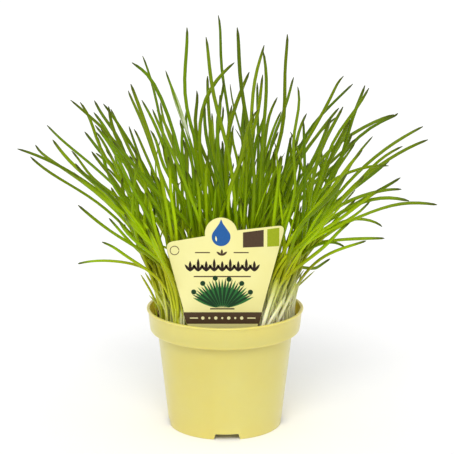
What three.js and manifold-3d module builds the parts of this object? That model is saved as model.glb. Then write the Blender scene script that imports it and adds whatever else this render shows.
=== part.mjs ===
// A chive bunch growing in its pot: a moulded plastic nursery pot, the peat that fills it,
// a card plant label on a stake, and the chives themselves, in tufts that stand in the peat.
// Millimetres, +Z up. The origin is the middle of the pot's foot, on the surface it stands on.
// -Y is the front, where the label stands.
import * as THREE from "three";
import { mergeVertices } from "three/addons/utils/BufferGeometryUtils.js";
import Module from "manifold-3d";

// Driving dimensions of the pot
const POT_HEIGHT = 92.5;
const LIP_RADIUS = 60;
const BAND_RADIUS = 57.8;
const BAND_HEIGHT = 17.4;
const BODY_TOP_RADIUS = 51.7;
const FOOT_RADIUS = 43.4;
const WALL = 1.3;
const FLOOR_HEIGHT = 6.8;
const NOTCH = { count: 4, turn: 2, top: 17.2, foot: 20.6, height: 4.6, below: 0.5, depth: 20, inner: 12 };
const DRAIN = { count: 8, radius: 4.5, at: 30, sides: 8, low: 1, high: 9.8 };
const POT_FACETS = 40;

// The peat, with the gap that parts touching each other keep
const GAP = 0.35;
const PEAT_GAP = 0.5;
const PEAT_TOP = 83;
const PEAT_SWELL = 1.2;
const PEAT_RINGS = [51, 39, 26, 12];
const PEAT_LUMP = { height: 0.9, acrossWave: 3.1, depthWave: 3.7, twist: 9 };
const PEAT_FACETS = 32;

// The label: a card with a round tab on its top edge, narrowing to a stake. Its corners are
// [across, up] before they are rounded, and a band near its foot stands out from its sides.
const LABEL_DEPTH = -43;
const LABEL_THICK = 0.8;
const LABEL_TAB = { x: -2.8, z: 160.2, radius: 11.9, rightUp: 2.3, leftDown: 2 };
const LABEL_CORNERS = {
  footRight: [23.2, 86],
  topRight: [44.4, 166.5],
  topLeft: [-43.9, 153.2],
  footLeft: [-26.5, 86],
};
const LABEL_ROUND = { foot: 3, top: 6, stake: 5 };
const LABEL_BAND = { low: 91.2, high: 100.4, out: 0.9 };
const STAKE = { x: -2, halfWidth: 7, tipHalfWidth: 4.9, shoulder: 86, taper: 14, point: 46 };

// The chives: plantlets in tufts, each a sheath that opens at its collar into leaves
const PLANTLETS_PER_TUFT = 4;
const LEAVES_PER_PLANTLET = 3;
const INNER_RING = { count: 5, radius: 21.5, turn: 90, step: 72 };
const OUTER_RING = { count: 10, radius: 43, turn: -45, step: 30 };
const CROWN = { radius: 8.2, topRadius: 7, foot: 79.9, top: 83.6, sides: 8 };
const CROWN_REACH = { least: 0.42, stray: 0.18 };
const SHEATH = { foot: 81, collarLow: 95, collarHigh: 124, rootRadius: 2.3, collarRadius: 1.8, neck: 6 };
const SPLAY = { perMillimetre: 0.0054, forwards: 0.3, stray: 0.05 };

// A leaf: its radii, how deep and how far aside it comes out of its sheath, and the way that it
// curves. Its curve's handles are a share of its length.
const LEAF = { thin: 1.15, thick: 1.4, tip: 0.65, sides: 3, links: 5, innerLinks: 4 };
const LEAF_ROOT = { sunk: 5, fan: 0.5, aside: 0.2 };
const LEAF_CURVE = { handle: 0.36, depthAim: 0.8 };
const LEAF_TAPER = { from: 0.6, power: 2 };

// The leaves inside the outline: their lean in degrees, more in the outer tufts, and their length
const INNER_LEAN = { least: 4, outward: 34, stray: 14 };
const INNER_LENGTH = { most: 158, stray: 62, outward: 18 };
const INNER_SWING = { middle: 3.4, edge: 1.2 };
const INNER_TRIES = 40;
const SEEN_LEAN_STRAY = 0.8;

// Room that leaves keep from other tufts' leaves, measured in steps along them, and the distance
// from its collar beyond which a leaf also keeps off its own tuft's
const CELL = 3;
const STRIDE = 2;
const CROWDED = 28;

// Where no leaf goes: in front of the label, which widens upwards, and through the pot's rim
const LABEL_ZONE = { behind: 3, halfWidth: 31, widening: 0.27, foot: 96, top: 176 };
const RIM_CLEAR = { radius: 52.7, above: 4 };

// Edges shorter than this are smoothed away where leaves join
const SLIVER = 0.08;

// Keeps the sideways direction of a leaf that rises straight up from being nothing
const UPRIGHT_GUARD = 0.001;

// Where the sight line of the front view starts: how far in front of the pot's axis, and how high
const EYE = { x: 1.5, distance: 1265, height: 455 };

// Leaves that stand out in the front view: [tip across, tip up, lean of the tip in degrees].
// Across and up are measured on the plane through the pot's axis, and lean is 0 for a tip that
// points straight up and positive for one that points to the right.
const OUTLINE_LEAVES = [
  [-146, 209, -46], [-133, 233, -45], [-129, 222, -36], [-115, 252, -52],
  [-105, 228, -38], [-97, 233, -31], [-93, 231, -34], [-96, 225, -11], [-100, 213, -29],
  [-85, 245, -19], [-84, 221, -34], [-88, 200, -38], [-72, 259, -23], [-70, 264, -20],
  [-61, 285, -15], [-62, 252, -25], [-54, 245, -20], [-48, 250, -8], [-68, 230, -32],
  [-44, 274, -19], [-28, 306, 6], [-14, 299, -7], [-5, 315, -8], [-13, 270, 0],
  [-21, 259, 2], [-28, 246, 5], [-15, 248, 3], [-1, 267, 9], [-31, 240, 9],
  [9, 306, -5], [29, 293, 13], [28, 289, -7], [46, 301, -2], [51, 269, 20],
  [54, 262, -3], [95, 264, 52], [104, 263, 13], [107, 261, 33], [85, 246, 44],
  [88, 247, 25], [79, 240, 10], [96, 239, 31], [126, 241, 77], [148, 232, 64],
  [152, 222, 69], [133, 217, 58], [124, 207, 48], [123, 202, 92], [132, 193, 56],
  [133, 184, 90], [139, 175, 103], [119, 155, 133], [98, 223, 47],
  [92, 211, 47], [39, 254, 24], [28, 271, 4], [24, 265, -4], [18, 273, 27],
  [7, 280, 48], [31, 246, 15], [25, 245, 30], [14, 251, -10], [121, 146, 89],
  [107, 144, 67], [80, 130, 46], [91, 139, 120], [-112, 126, -102], [-76, 157, -17],
];

// Leaves that are bent over sharply: [bend across, bend up, lean at the bend, tip across, tip up]
const BENT_LEAVES = [
  [-137, 210, -62, -142, 218],
  [-54, 270, -23, -69, 280],
  [78, 258, 23, 88, 270],
  [123, 238, 68, 129, 242],
];

// How far the outline leaves spread towards the front and the back, how far a tip may slide along
// its sight line, and the plantlets that it may grow from, nearest to a place drawn inwards
const DEPTH_SPREAD = 90;
const DEPTH_TURN = 2.4;
const REACH_DEEP = 112.5;
const REACH_ACROSS = 165;
const SLIDE = { most: 90, step: 3 };
const NEAREST = { most: 6, inward: 0.3 };

// The leaves that reach furthest to each side: [tip across, tip up, lean, depth of the tip]
const REACHING_LEAVES = [
  [-155.6, 215, -73, 10],
  [160.2, 172, 99, -10],
  [92, 196, 34, -112],
  [-20, 205, -10, 112],
];

const wasm = await Module();
wasm.setup();

const v3 = (x, y, z) => new THREE.Vector3(x, y, z);

// Park and Miller's random numbers, from 0 to 1, the same on every run.
function seeded(seed) {
  let state = seed;
  return () => {
    state = (state * 48271) % 2147483647;
    return state / 2147483647;
  };
}

// A closed three.js geometry as a solid that can be joined and cut.
function solid(geometry) {
  const bare = geometry.clone();
  bare.deleteAttribute("normal");
  bare.deleteAttribute("uv");
  const merged = mergeVertices(bare, 1e-4);
  return new wasm.Manifold(
    new wasm.Mesh({
      numProp: 3,
      vertProperties: merged.attributes.position.array,
      triVerts: new Uint32Array(merged.index.array),
    }),
  );
}

function geometryOf(joined) {
  const mesh = joined.getMesh();
  return new THREE.BufferGeometry()
    .setAttribute("position", new THREE.BufferAttribute(mesh.vertProperties, 3))
    .setIndex(new THREE.BufferAttribute(mesh.triVerts, 1));
}

const join = (solids) => solids.reduce((all, next) => all.add(next));
const cutAll = (body, cutters) => cutters.reduce((left, cutter) => left.subtract(cutter), body);

// A profile of [radius, height] pairs turned about the Z axis.
function turned(profile, facets) {
  const points = profile.map(([r, z]) => new THREE.Vector2(r, z));
  return new THREE.LatheGeometry(points, facets).rotateX(Math.PI / 2);
}

function upright(radius, low, high, x, y, sides) {
  return new THREE.CylinderGeometry(radius, radius, high - low, sides)
    .rotateX(Math.PI / 2)
    .translate(x, y, (low + high) / 2);
}

// The pot

function potProfile() {
  const bandFoot = POT_HEIGHT - BAND_HEIGHT;
  return [
    [0, FLOOR_HEIGHT - WALL], [FOOT_RADIUS - 2.2, FLOOR_HEIGHT - WALL], [FOOT_RADIUS - 2.6, 0],
    [FOOT_RADIUS - 0.4, 0], [FOOT_RADIUS, 0.5], [BODY_TOP_RADIUS, bandFoot - 0.6],
    [BAND_RADIUS - 0.7, bandFoot - 0.3], [BAND_RADIUS, bandFoot + 0.6],
    [BAND_RADIUS + 1, POT_HEIGHT - 2.2], [LIP_RADIUS - 0.3, POT_HEIGHT - 1.7],
    [LIP_RADIUS, POT_HEIGHT - 1.1], [LIP_RADIUS, POT_HEIGHT - 0.4], [LIP_RADIUS - 0.5, POT_HEIGHT],
    [BAND_RADIUS - 0.1, POT_HEIGHT], [BAND_RADIUS - WALL, bandFoot + WALL],
    [BODY_TOP_RADIUS - WALL, bandFoot + WALL - 0.3], [FOOT_RADIUS - WALL - 0.1, FLOOR_HEIGHT + 0.9],
    [FOOT_RADIUS - WALL - 1.2, FLOOR_HEIGHT], [0, FLOOR_HEIGHT],
  ];
}

// One gap in the foot ring, wider at the surface, that lets water out from under the pot.
function notch(turn) {
  const outline = new THREE.Shape([
    new THREE.Vector2(-NOTCH.foot / 2, -NOTCH.below),
    new THREE.Vector2(NOTCH.foot / 2, -NOTCH.below),
    new THREE.Vector2(NOTCH.top / 2, NOTCH.height),
    new THREE.Vector2(-NOTCH.top / 2, NOTCH.height),
  ]);
  return new THREE.ExtrudeGeometry(outline, { depth: NOTCH.depth, bevelEnabled: false })
    .rotateX(Math.PI / 2)
    .translate(0, -FOOT_RADIUS + NOTCH.inner, 0)
    .rotateZ(turn);
}

function potGeometry() {
  const turnOf = (i, count) => (i * 2 * Math.PI) / count;
  const notches = Array.from({ length: NOTCH.count }, (_, i) =>
    solid(notch(turnOf(i, NOTCH.count) + THREE.MathUtils.degToRad(NOTCH.turn))),
  );
  const drains = Array.from({ length: DRAIN.count }, (_, i) => {
    const turn = turnOf(i + 0.5, DRAIN.count);
    const [x, y] = [DRAIN.at * Math.cos(turn), DRAIN.at * Math.sin(turn)];
    return solid(upright(DRAIN.radius, DRAIN.low, DRAIN.high, x, y, DRAIN.sides));
  });
  const body = solid(turned(potProfile(), POT_FACETS));
  return geometryOf(cutAll(body, [...notches, ...drains]));
}

// The label

// Draws up to a corner and rounds it, starting and ending a distance from it.
function roundCorner(shape, before, corner, after, distance) {
  const at = new THREE.Vector2(...corner);
  const towards = (other) =>
    new THREE.Vector2(...other).sub(at).setLength(distance).add(at);
  const [start, end] = [towards(before), towards(after)];
  shape.lineTo(start.x, start.y);
  shape.quadraticCurveTo(at.x, at.y, end.x, end.y);
}

// The point at a height on the side between two corners, moved out from it.
function onSide(low, high, up, out) {
  const share = (up - low[1]) / (high[1] - low[1]);
  return [low[0] + (high[0] - low[0]) * share + out, up];
}

// Draws one side of the card's band, from its first height to its last.
function drawBand(shape, low, high, heights, out) {
  const [first, last] = heights;
  for (const [up, step] of [[first, 0], [first, out], [last, out], [last, 0]])
    shape.lineTo(...onSide(low, high, up, step));
}

// The card's outline in the front plane: x across, z up.
function labelOutline() {
  const { x, halfWidth, tipHalfWidth, shoulder, taper, point } = STAKE;
  const { footRight, topRight, topLeft, footLeft } = LABEL_CORNERS;
  const { foot, top, stake } = LABEL_ROUND;
  const { x: tabX, z: tabZ, radius, rightUp, leftDown } = LABEL_TAB;
  const { low, high, out } = LABEL_BAND;
  const tabRight = [tabX + Math.sqrt(radius ** 2 - rightUp ** 2), tabZ + rightUp];
  const tabLeft = [tabX - Math.sqrt(radius ** 2 - leftDown ** 2), tabZ - leftDown];
  const [stakeRight, stakeLeft] = [[x + halfWidth, shoulder], [x - halfWidth, shoulder]];
  const s = new THREE.Shape();
  s.moveTo(x, point);
  s.lineTo(x + tipHalfWidth, point + taper);
  roundCorner(s, [x + halfWidth, point], stakeRight, footRight, stake);
  roundCorner(s, stakeRight, footRight, topRight, foot);
  drawBand(s, footRight, topRight, [low, high], out);
  roundCorner(s, footRight, topRight, tabRight, top);
  s.lineTo(...tabRight);
  s.absarc(tabX, tabZ, radius, Math.asin(rightUp / radius), Math.PI + Math.asin(leftDown / radius));
  roundCorner(s, tabLeft, topLeft, footLeft, top);
  drawBand(s, footLeft, topLeft, [high, low], -out);
  roundCorner(s, topLeft, footLeft, stakeLeft, foot);
  roundCorner(s, footLeft, stakeLeft, [x - halfWidth, point], stake);
  s.lineTo(x - tipHalfWidth, point + taper);
  s.closePath();
  return s;
}

function labelGeometry() {
  return new THREE.ExtrudeGeometry(labelOutline(), {
    depth: LABEL_THICK,
    bevelEnabled: false,
    curveSegments: 5,
  })
    .rotateX(Math.PI / 2)
    .translate(0, LABEL_DEPTH + LABEL_THICK / 2, 0);
}

// Tufts and plantlets

// The tufts' places: one in the middle, a ring round it, and an outer ring open to the front
// for the label.
function tuftPlaces() {
  const ring = ({ count, radius, turn, step }) =>
    Array.from({ length: count }, (_, i) => {
      const angle = THREE.MathUtils.degToRad(turn + i * step);
      return v3(radius * Math.cos(angle), radius * Math.sin(angle), 0);
    });
  return [v3(0, 0, 0), ...ring(INNER_RING), ...ring(OUTER_RING)];
}

const TUFTS = tuftPlaces();

// Each plantlet rises from its tuft's crown and leans outwards, though less towards the label.
function growPlantlets() {
  const random = seeded(2024);
  return TUFTS.flatMap((place, tuft) =>
    Array.from({ length: PLANTLETS_PER_TUFT }, (_, i) => {
      const turn = (i * 2 * Math.PI) / PLANTLETS_PER_TUFT + tuft;
      const reach = CROWN.radius * (CROWN_REACH.least + CROWN_REACH.stray * random());
      const foot = v3(place.x + reach * Math.cos(turn), place.y + reach * Math.sin(turn), SHEATH.foot);
      const { perMillimetre, forwards, stray } = SPLAY;
      const axis = v3(
        foot.x * perMillimetre + stray * (random() - 0.5),
        foot.y * perMillimetre * (foot.y < 0 ? forwards : 1) + stray * (random() - 0.5),
        1,
      ).normalize();
      const height = SHEATH.collarLow + (SHEATH.collarHigh - SHEATH.collarLow) * random();
      const collar = foot.clone().addScaledVector(axis, height - SHEATH.foot);
      return { tuft, foot, axis, collar, turn, leaves: [] };
    }),
  );
}

// The cells of space that each tuft takes, so that no leaf meets another tuft's

const taken = new Map();

const cellKey = (p, dx, dy, dz) =>
  [Math.floor(p.x / CELL) + dx, Math.floor(p.y / CELL) + dy, Math.floor(p.z / CELL) + dz].join();

// Points a stride or less apart along a line of straight links.
function steps(line) {
  return line.slice(1).flatMap((end, i) => {
    const count = Math.ceil(line[i].distanceTo(end) / STRIDE);
    return Array.from({ length: count }, (_, k) => line[i].clone().lerp(end, (k + 1) / count));
  });
}

// Marks the cells along a line, and those round them, as a tuft's.
function claim(line, tuft) {
  const around = [-1, 0, 1];
  for (const p of [line[0], ...steps(line)])
    for (const dx of around)
      for (const dy of around)
        for (const dz of around) {
          const key = cellKey(p, dx, dy, dz);
          taken.set(key, (taken.get(key) ?? 0) | (1 << tuft));
        }
}

// Leaves stay behind or beside the label, inside the pot's wall or above its rim.
function isOpenSpace(p) {
  const { behind, halfWidth, widening, foot, top } = LABEL_ZONE;
  const besideLabel = Math.abs(p.x) > halfWidth + widening * (p.z - foot) || p.z > top;
  const behindLabel = p.y > LABEL_DEPTH + behind;
  const clearOfRim = p.z > POT_HEIGHT + RIM_CLEAR.above || Math.hypot(p.x, p.y) < RIM_CLEAR.radius;
  return (behindLabel || besideLabel) && clearOfRim && Math.abs(p.y) < REACH_DEEP;
}

// Whether a line is clear of the other tufts and, where it has to be roomy, of its own too.
function isClear(line, { tuft, collar }, roomy) {
  return steps(line).every((p) => {
    const others = taken.get(cellKey(p, 0, 0, 0)) ?? 0;
    const apart = roomy && p.distanceTo(collar) > CROWDED;
    return isOpenSpace(p) && (apart ? others : others & ~(1 << tuft)) === 0;
  });
}

// Leaves

// Moves a point of the front view's plane along its sight line, to a depth behind the pot's axis.
function atDepth(across, up, depth) {
  const t = 1 + depth / EYE.distance;
  return v3(EYE.x + (across - EYE.x) * t, depth, EYE.height + (up - EYE.height) * t);
}

// Where a leaf starts and the way it sets out. The first carries on from the sheath, and the
// others come out of its sides.
function leafStart({ collar, axis, turn, leaves }) {
  if (leaves.length === 0) return { start: collar, rise: axis };
  const angle = turn + (leaves.length * 2 * Math.PI) / LEAVES_PER_PLANTLET;
  const side = v3(Math.cos(angle), Math.sin(angle), 0);
  return {
    start: collar.clone().addScaledVector(axis, -LEAF_ROOT.sunk).addScaledVector(side, LEAF_ROOT.fan),
    rise: axis.clone().addScaledVector(side, LEAF_ROOT.aside).normalize(),
  };
}

// A leaf's line from its sheath to its tip, where it points along lean degrees from upright.
// It may end in a bent piece.
function leafLine(plantlet, tip, lean, links, bentTip) {
  const { start, rise } = leafStart(plantlet);
  const length = start.distanceTo(tip);
  const angle = THREE.MathUtils.degToRad(lean);
  const aimDeep = (LEAF_CURVE.depthAim * (tip.y - start.y)) / length;
  const aim = v3(Math.sin(angle), aimDeep, Math.cos(angle)).normalize();
  const handle = LEAF_CURVE.handle * length;
  const curve = new THREE.CubicBezierCurve3(
    start,
    start.clone().addScaledVector(rise, handle),
    tip.clone().addScaledVector(aim, -handle),
    tip,
  );
  const line = curve.getPoints(links);
  return bentTip ? [...line, bentTip] : line;
}

// Grows the first of the leaves tried that is clear, a roomy one if there is one.
function growFirstClear(tried, radius) {
  const clear = (roomy) => tried.find(({ plantlet, line }) => isClear(line, plantlet, roomy));
  const grown = clear(true) ?? clear(false);
  if (!grown) return;
  claim(grown.line, grown.plantlet.tuft);
  grown.plantlet.leaves.push({ line: grown.line, radius });
}

// The plantlets that still have room, nearest first to a place on the peat.
function nearestPlantlets(plantlets, x, y) {
  const away = (p) => Math.hypot(p.foot.x - x, p.foot.y - y);
  return plantlets
    .filter((p) => p.leaves.length < LEAVES_PER_PLANTLET)
    .sort((a, b) => away(a) - away(b))
    .slice(0, NEAREST.most);
}

// Grows a leaf to a tip seen in the front view. The tip slides along its sight line, and the
// leaf changes its plantlet, until it is clear.
function growOutlineLeaf(plantlets, [across, up, lean, ...bend], depth, slide, radius) {
  const near = nearestPlantlets(plantlets, across * NEAREST.inward, depth * NEAREST.inward);
  const tried = [];
  for (let shift = 0; shift <= slide; shift = shift > 0 ? -shift : SLIDE.step - shift) {
    const tip = atDepth(across, up, depth + shift);
    const bentTip = bend.length ? atDepth(...bend, depth + shift) : null;
    for (const plantlet of near)
      tried.push({ plantlet, line: leafLine(plantlet, tip, lean, LEAF.links, bentTip) });
  }
  growFirstClear(tried, radius);
}

// Grows one of the many leaves inside the outline: it leans outwards with its plantlet,
// by an amount of its own.
function growInnerLeaf(plantlet, random, radius) {
  const { foot, collar } = plantlet;
  const outward = Math.hypot(foot.x, foot.y) / (OUTER_RING.radius + CROWN.radius);
  const tried = Array.from({ length: INNER_TRIES }, () => {
    const swing = (random() - 0.5) * THREE.MathUtils.lerp(INNER_SWING.middle, INNER_SWING.edge, outward);
    const turn = Math.atan2(foot.y, foot.x) + swing;
    const leanDegrees =
      INNER_LEAN.least + INNER_LEAN.outward * outward * random() + INNER_LEAN.stray * random();
    const lean = THREE.MathUtils.degToRad(leanDegrees);
    const length = INNER_LENGTH.most - INNER_LENGTH.stray * random() - INNER_LENGTH.outward * outward;
    const way = v3(
      Math.sin(lean) * Math.cos(turn),
      Math.sin(lean) * Math.sin(turn),
      Math.cos(lean),
    );
    const tip = collar.clone().addScaledVector(way, length);
    const seenLean = leanDegrees * Math.cos(turn) * (1 + SEEN_LEAN_STRAY * random());
    return { plantlet, line: leafLine(plantlet, tip, seenLean, LEAF.innerLinks, null) };
  });
  growFirstClear(tried, radius);
}

function growChives() {
  const random = seeded(77);
  const plantlets = growPlantlets();
  for (const p of plantlets) claim([p.foot, p.collar], p.tuft);
  const radius = () => LEAF.thin + (LEAF.thick - LEAF.thin) * random();
  for (const [across, up, lean, depth] of REACHING_LEAVES)
    growOutlineLeaf(plantlets, [across, up, lean], depth, 0, radius());
  [...BENT_LEAVES, ...OUTLINE_LEAVES].forEach((leaf, i) => {
    const roundness = Math.sqrt(Math.max(0, 1 - (leaf[0] / REACH_ACROSS) ** 2));
    const depth = DEPTH_SPREAD * roundness * Math.cos(i * DEPTH_TURN);
    growOutlineLeaf(plantlets, leaf, depth, SLIDE.most, radius());
  });
  for (let round = 0; round < LEAVES_PER_PLANTLET; round++)
    for (const p of plantlets) if (p.leaves.length <= round) growInnerLeaf(p, random, radius());
  return plantlets;
}

// Tuft solids

// A cylinder bent along a line, one ring of its side to each point of the line.
function bentTube(line, radii, sides) {
  const tube = new THREE.CylinderGeometry(1, 1, 1, sides, line.length - 1);
  const place = tube.attributes.position;
  const end = line[line.length - 1];
  const heading = v3(end.x - line[0].x, end.y - line[0].y, UPRIGHT_GUARD).normalize();
  const side = heading.clone().cross(v3(0, 0, 1)).normalize();
  for (let i = 0; i < place.count; i++) {
    const ring = Math.round((0.5 + place.getY(i)) * (line.length - 1));
    const after = line[Math.min(ring + 1, line.length - 1)];
    const before = line[Math.max(ring - 1, 0)];
    const along = after.clone().sub(before).normalize();
    const across = side.clone().addScaledVector(along, -side.dot(along)).normalize();
    const over = across.clone().cross(along);
    const p = line[ring]
      .clone()
      .addScaledVector(across, radii[ring] * place.getX(i))
      .addScaledVector(over, radii[ring] * place.getZ(i));
    place.setXYZ(i, p.x, p.y, p.z);
  }
  return tube;
}

// A leaf's radius at each point: full to past its middle, then drawn down to its tip.
function leafRadii(line, radius) {
  return line.map((_, i) => {
    const past = i / (line.length - 1) - LEAF_TAPER.from;
    const drawn = Math.max(0, past / (1 - LEAF_TAPER.from)) ** LEAF_TAPER.power;
    return radius + (LEAF.tip - radius) * drawn;
  });
}

function crown(place) {
  const { topRadius, radius, top, foot, sides } = CROWN;
  return new THREE.CylinderGeometry(topRadius, radius, top - foot, sides)
    .rotateX(Math.PI / 2)
    .translate(place.x, place.y, (top + foot) / 2);
}

// A plantlet's first leaf and its sheath in one, narrowing at the neck above the collar.
function sheathAndLeaf({ foot, collar, axis, leaves: [first] }) {
  const { rootRadius, collarRadius, neck } = SHEATH;
  if (!first) return bentTube([foot, collar], [rootRadius, collarRadius], LEAF.sides);
  const neckPoint = collar.clone().addScaledVector(axis, neck);
  const line = [foot, collar, neckPoint, ...first.line.slice(1)];
  const radii = leafRadii(first.line, first.radius);
  return bentTube(line, [rootRadius, collarRadius, ...radii], LEAF.sides);
}

function tuftGeometry(plantlets, tuft) {
  const own = plantlets.filter((p) => p.tuft === tuft);
  const others = own.flatMap((p) =>
    p.leaves
      .slice(1)
      .map(({ line, radius }) => bentTube(line, leafRadii(line, radius), LEAF.sides)),
  );
  const pieces = [crown(TUFTS[tuft]), ...own.map(sheathAndLeaf), ...others];
  return geometryOf(join(pieces.map(solid)).simplify(SLIVER));
}

// The peat

// Its top is lumpy: a formula lifts and lowers the rings inside the rim.
function peatGeometry() {
  const ledge = POT_HEIGHT - BAND_HEIGHT + WALL + PEAT_GAP;
  const edge = BAND_RADIUS - WALL - PEAT_GAP;
  const profile = [
    [0, FLOOR_HEIGHT + PEAT_GAP], [FOOT_RADIUS - WALL - 1.9, FLOOR_HEIGHT + PEAT_GAP],
    [BODY_TOP_RADIUS - WALL - PEAT_GAP, ledge], [edge, ledge], [edge, PEAT_TOP - 1],
    ...PEAT_RINGS.map((r) => [r, PEAT_TOP + PEAT_SWELL * (1 - r / edge)]),
    [0, PEAT_TOP + PEAT_SWELL],
  ];
  const body = turned(profile, PEAT_FACETS);
  const { height, acrossWave, depthWave, twist } = PEAT_LUMP;
  const place = body.attributes.position;
  for (let i = 0; i < place.count; i++) {
    const [x, y, z] = [place.getX(i), place.getY(i), place.getZ(i)];
    const lump = height * Math.sin(x / acrossWave) * Math.cos(y / depthWave + x / twist);
    if (z > PEAT_TOP - 0.5) place.setZ(i, z + lump);
  }
  const above = PEAT_TOP + 9;
  const holes = TUFTS.map((p) =>
    upright(CROWN.radius + GAP, CROWN.foot - GAP, above, p.x, p.y, CROWN.sides),
  );
  const slotFoot = STAKE.point - 1;
  const slot = new THREE.BoxGeometry(
    2 * (STAKE.halfWidth + GAP),
    LABEL_THICK + 2 * GAP,
    above - slotFoot,
  ).translate(STAKE.x, LABEL_DEPTH, (above + slotFoot) / 2);
  return geometryOf(cutAll(solid(body), [...holes, slot].map(solid)));
}

// Materials

const finish = (color, roughness) => new THREE.MeshStandardMaterial({ color, roughness });
const potPlastic = finish(0xe6da84, 0.38);
const peatCrumb = finish(0x3a2a1c, 0.95);
const labelCard = finish(0xf1eca6, 0.45);
const chiveLeaf = finish(0x77a31c, 0.45);

function piece(name, geometry, material) {
  const mesh = new THREE.Mesh(geometry, material);
  mesh.name = name;
  return mesh;
}

const plantlets = growChives();
const chivesInPot = new THREE.Group();
chivesInPot.add(
  piece("pot", potGeometry(), potPlastic),
  piece("peat", peatGeometry(), peatCrumb),
  piece("plant_label", labelGeometry(), labelCard),
);
TUFTS.forEach((_, tuft) => {
  const name = `chive_tuft_${String(tuft + 1).padStart(2, "0")}`;
  chivesInPot.add(piece(name, tuftGeometry(plantlets, tuft), chiveLeaf));
});

export default chivesInPot;
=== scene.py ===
"""A chive bunch growing in its pot: plastic nursery pot, peat, plant label and chive tufts.

The fine pieces stand for the CAD nodes of the same names and keep their form. The chives are
grown by the same rule as the solids, from the same seeds, and then get round leaves, their
sheaths and the leaves in between. Metres, +Z up, -Y to the front.
"""

from __future__ import annotations

import logging
import math
from collections.abc import Callable, Iterable, Iterator, Sequence
from dataclasses import dataclass, field
from enum import Enum
from itertools import product

import bmesh
import bpy
import numpy as np
from mathutils import Matrix, Vector

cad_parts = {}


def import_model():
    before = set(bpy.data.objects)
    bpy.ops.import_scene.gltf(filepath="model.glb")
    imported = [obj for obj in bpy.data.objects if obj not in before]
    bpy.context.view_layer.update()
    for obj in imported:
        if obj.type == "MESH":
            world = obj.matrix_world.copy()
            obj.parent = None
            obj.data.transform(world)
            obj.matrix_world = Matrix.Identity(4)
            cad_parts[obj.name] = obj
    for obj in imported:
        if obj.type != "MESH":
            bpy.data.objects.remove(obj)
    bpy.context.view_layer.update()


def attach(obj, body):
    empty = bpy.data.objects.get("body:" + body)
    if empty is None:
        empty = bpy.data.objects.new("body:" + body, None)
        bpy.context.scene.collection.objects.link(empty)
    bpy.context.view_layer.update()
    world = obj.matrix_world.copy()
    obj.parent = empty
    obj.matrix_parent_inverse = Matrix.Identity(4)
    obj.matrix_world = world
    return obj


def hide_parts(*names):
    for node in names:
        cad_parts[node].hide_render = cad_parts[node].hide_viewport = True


LOG = logging.getLogger("chives")
MM = 0.001
FULL_TURN = 2 * math.pi
UP = (0.0, 0.0, 1.0)

# The multiplier and the prime of the draws
DRAW_FACTOR = 48271
DRAW_PRIME = 2147483647

# A way that no tube starts along, from which its first side is found
OFF_TUBE = (0.0, 0.31, 0.95)

# The power that fills out the sides of a pointed leaf
BELLY = 0.8

# The largest turn drawn for crumbs, root fibres and husks, a hair under a full one
LOOSE_TURN = 6.28

# The distance from a tip, in millimetres, that what has no tip is given
FAR = 200.0

BODY = "root"

Point = tuple[float, float, float]
Flat = tuple[float, float]
Colour = tuple[float, float, float, float]


class Slot(Enum):
    """The record's material slots."""

    POT = "pot_plastic"
    PEAT = "peat_crumb"
    LABEL = "label_card"
    LEAF = "chive_leaf"


def srgb(red: int, green: int, blue: int) -> Colour:
    """Turns a colour as it is seen on a screen into the linear values that shaders take.

    Args:
        red, green, blue: The colour, each from 0 to 255.

    Returns:
        The linear colour with an alpha of 1.
    """
    linear = [
        c / 12.92 if c <= 0.04045 else ((c + 0.055) / 1.055) ** 2.4
        for c in (red / 255, green / 255, blue / 255)
    ]
    return (linear[0], linear[1], linear[2], 1.0)


class Draw:
    """Park and Miller's random numbers, from 0 to 1, the same on every run."""

    def __init__(self, seed: int) -> None:
        """Starts the sequence at a seed."""
        self.state = seed

    def __call__(self) -> float:
        """Returns the next number."""
        self.state = (self.state * DRAW_FACTOR) % DRAW_PRIME
        return self.state / DRAW_PRIME

    def between(self, low: float, high: float) -> float:
        """Returns the next number, spread from low to high."""
        return low + (high - low) * self()


# Points and lines in plain tuples, which keep full precision


def moved(point: Point, way: Point, distance: float) -> Point:
    """Returns a point moved a distance along a way."""
    x, y, z = (start + step * distance for start, step in zip(point, way))
    return (x, y, z)


def side_way(turn: float) -> Point:
    """Returns the level way that a turn about +Z, in radians, points to."""
    return (math.cos(turn), math.sin(turn), 0.0)


def unit(way: Point) -> Point:
    """Returns a way with a length of 1."""
    length = math.sqrt(way[0] ** 2 + way[1] ** 2 + way[2] ** 2)
    return (way[0] / length, way[1] / length, way[2] / length)


def mixed(a: Point, b: Point, share: float) -> Point:
    """Returns the point that lies a share of the way from a to b."""
    x, y, z = (start + (end - start) * share for start, end in zip(a, b))
    return (x, y, z)


def steps(line: Sequence[Point], stride: float = 2.0) -> Iterator[Point]:
    """Yields points about a stride apart along a line of straight links.

    Args:
        line: The line's points, in millimetres.
        stride: The longest step, in millimetres.

    Yields:
        The points, without the line's first.
    """
    for start, end in zip(line, line[1:]):
        count = math.ceil(math.dist(start, end) / stride)
        for k in range(count):
            yield mixed(start, end, (k + 1) / count)


@dataclass(frozen=True)
class Curve:
    """A cubic Bezier curve, given by its four control points in millimetres."""

    start: Point
    rise: Point
    fall: Point
    end: Point

    def at(self, t: float) -> Point:
        """Returns the point at t, from 0 to 1."""
        k = 1 - t
        weights = (k * k * k, 3 * k * k * t, 3 * k * t * t, t * t * t)
        control = (self.start, self.rise, self.fall, self.end)
        x, y, z = (sum(w * p[axis] for w, p in zip(weights, control)) for axis in range(3))
        return (x, y, z)

    def points(self, links: int) -> list[Point]:
        """Returns the ends of that many links along the curve."""
        return [self.at(i / links) for i in range(links + 1)]


# How the chives grow, as in the solids: the same sizes, seeds and order of draws


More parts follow.
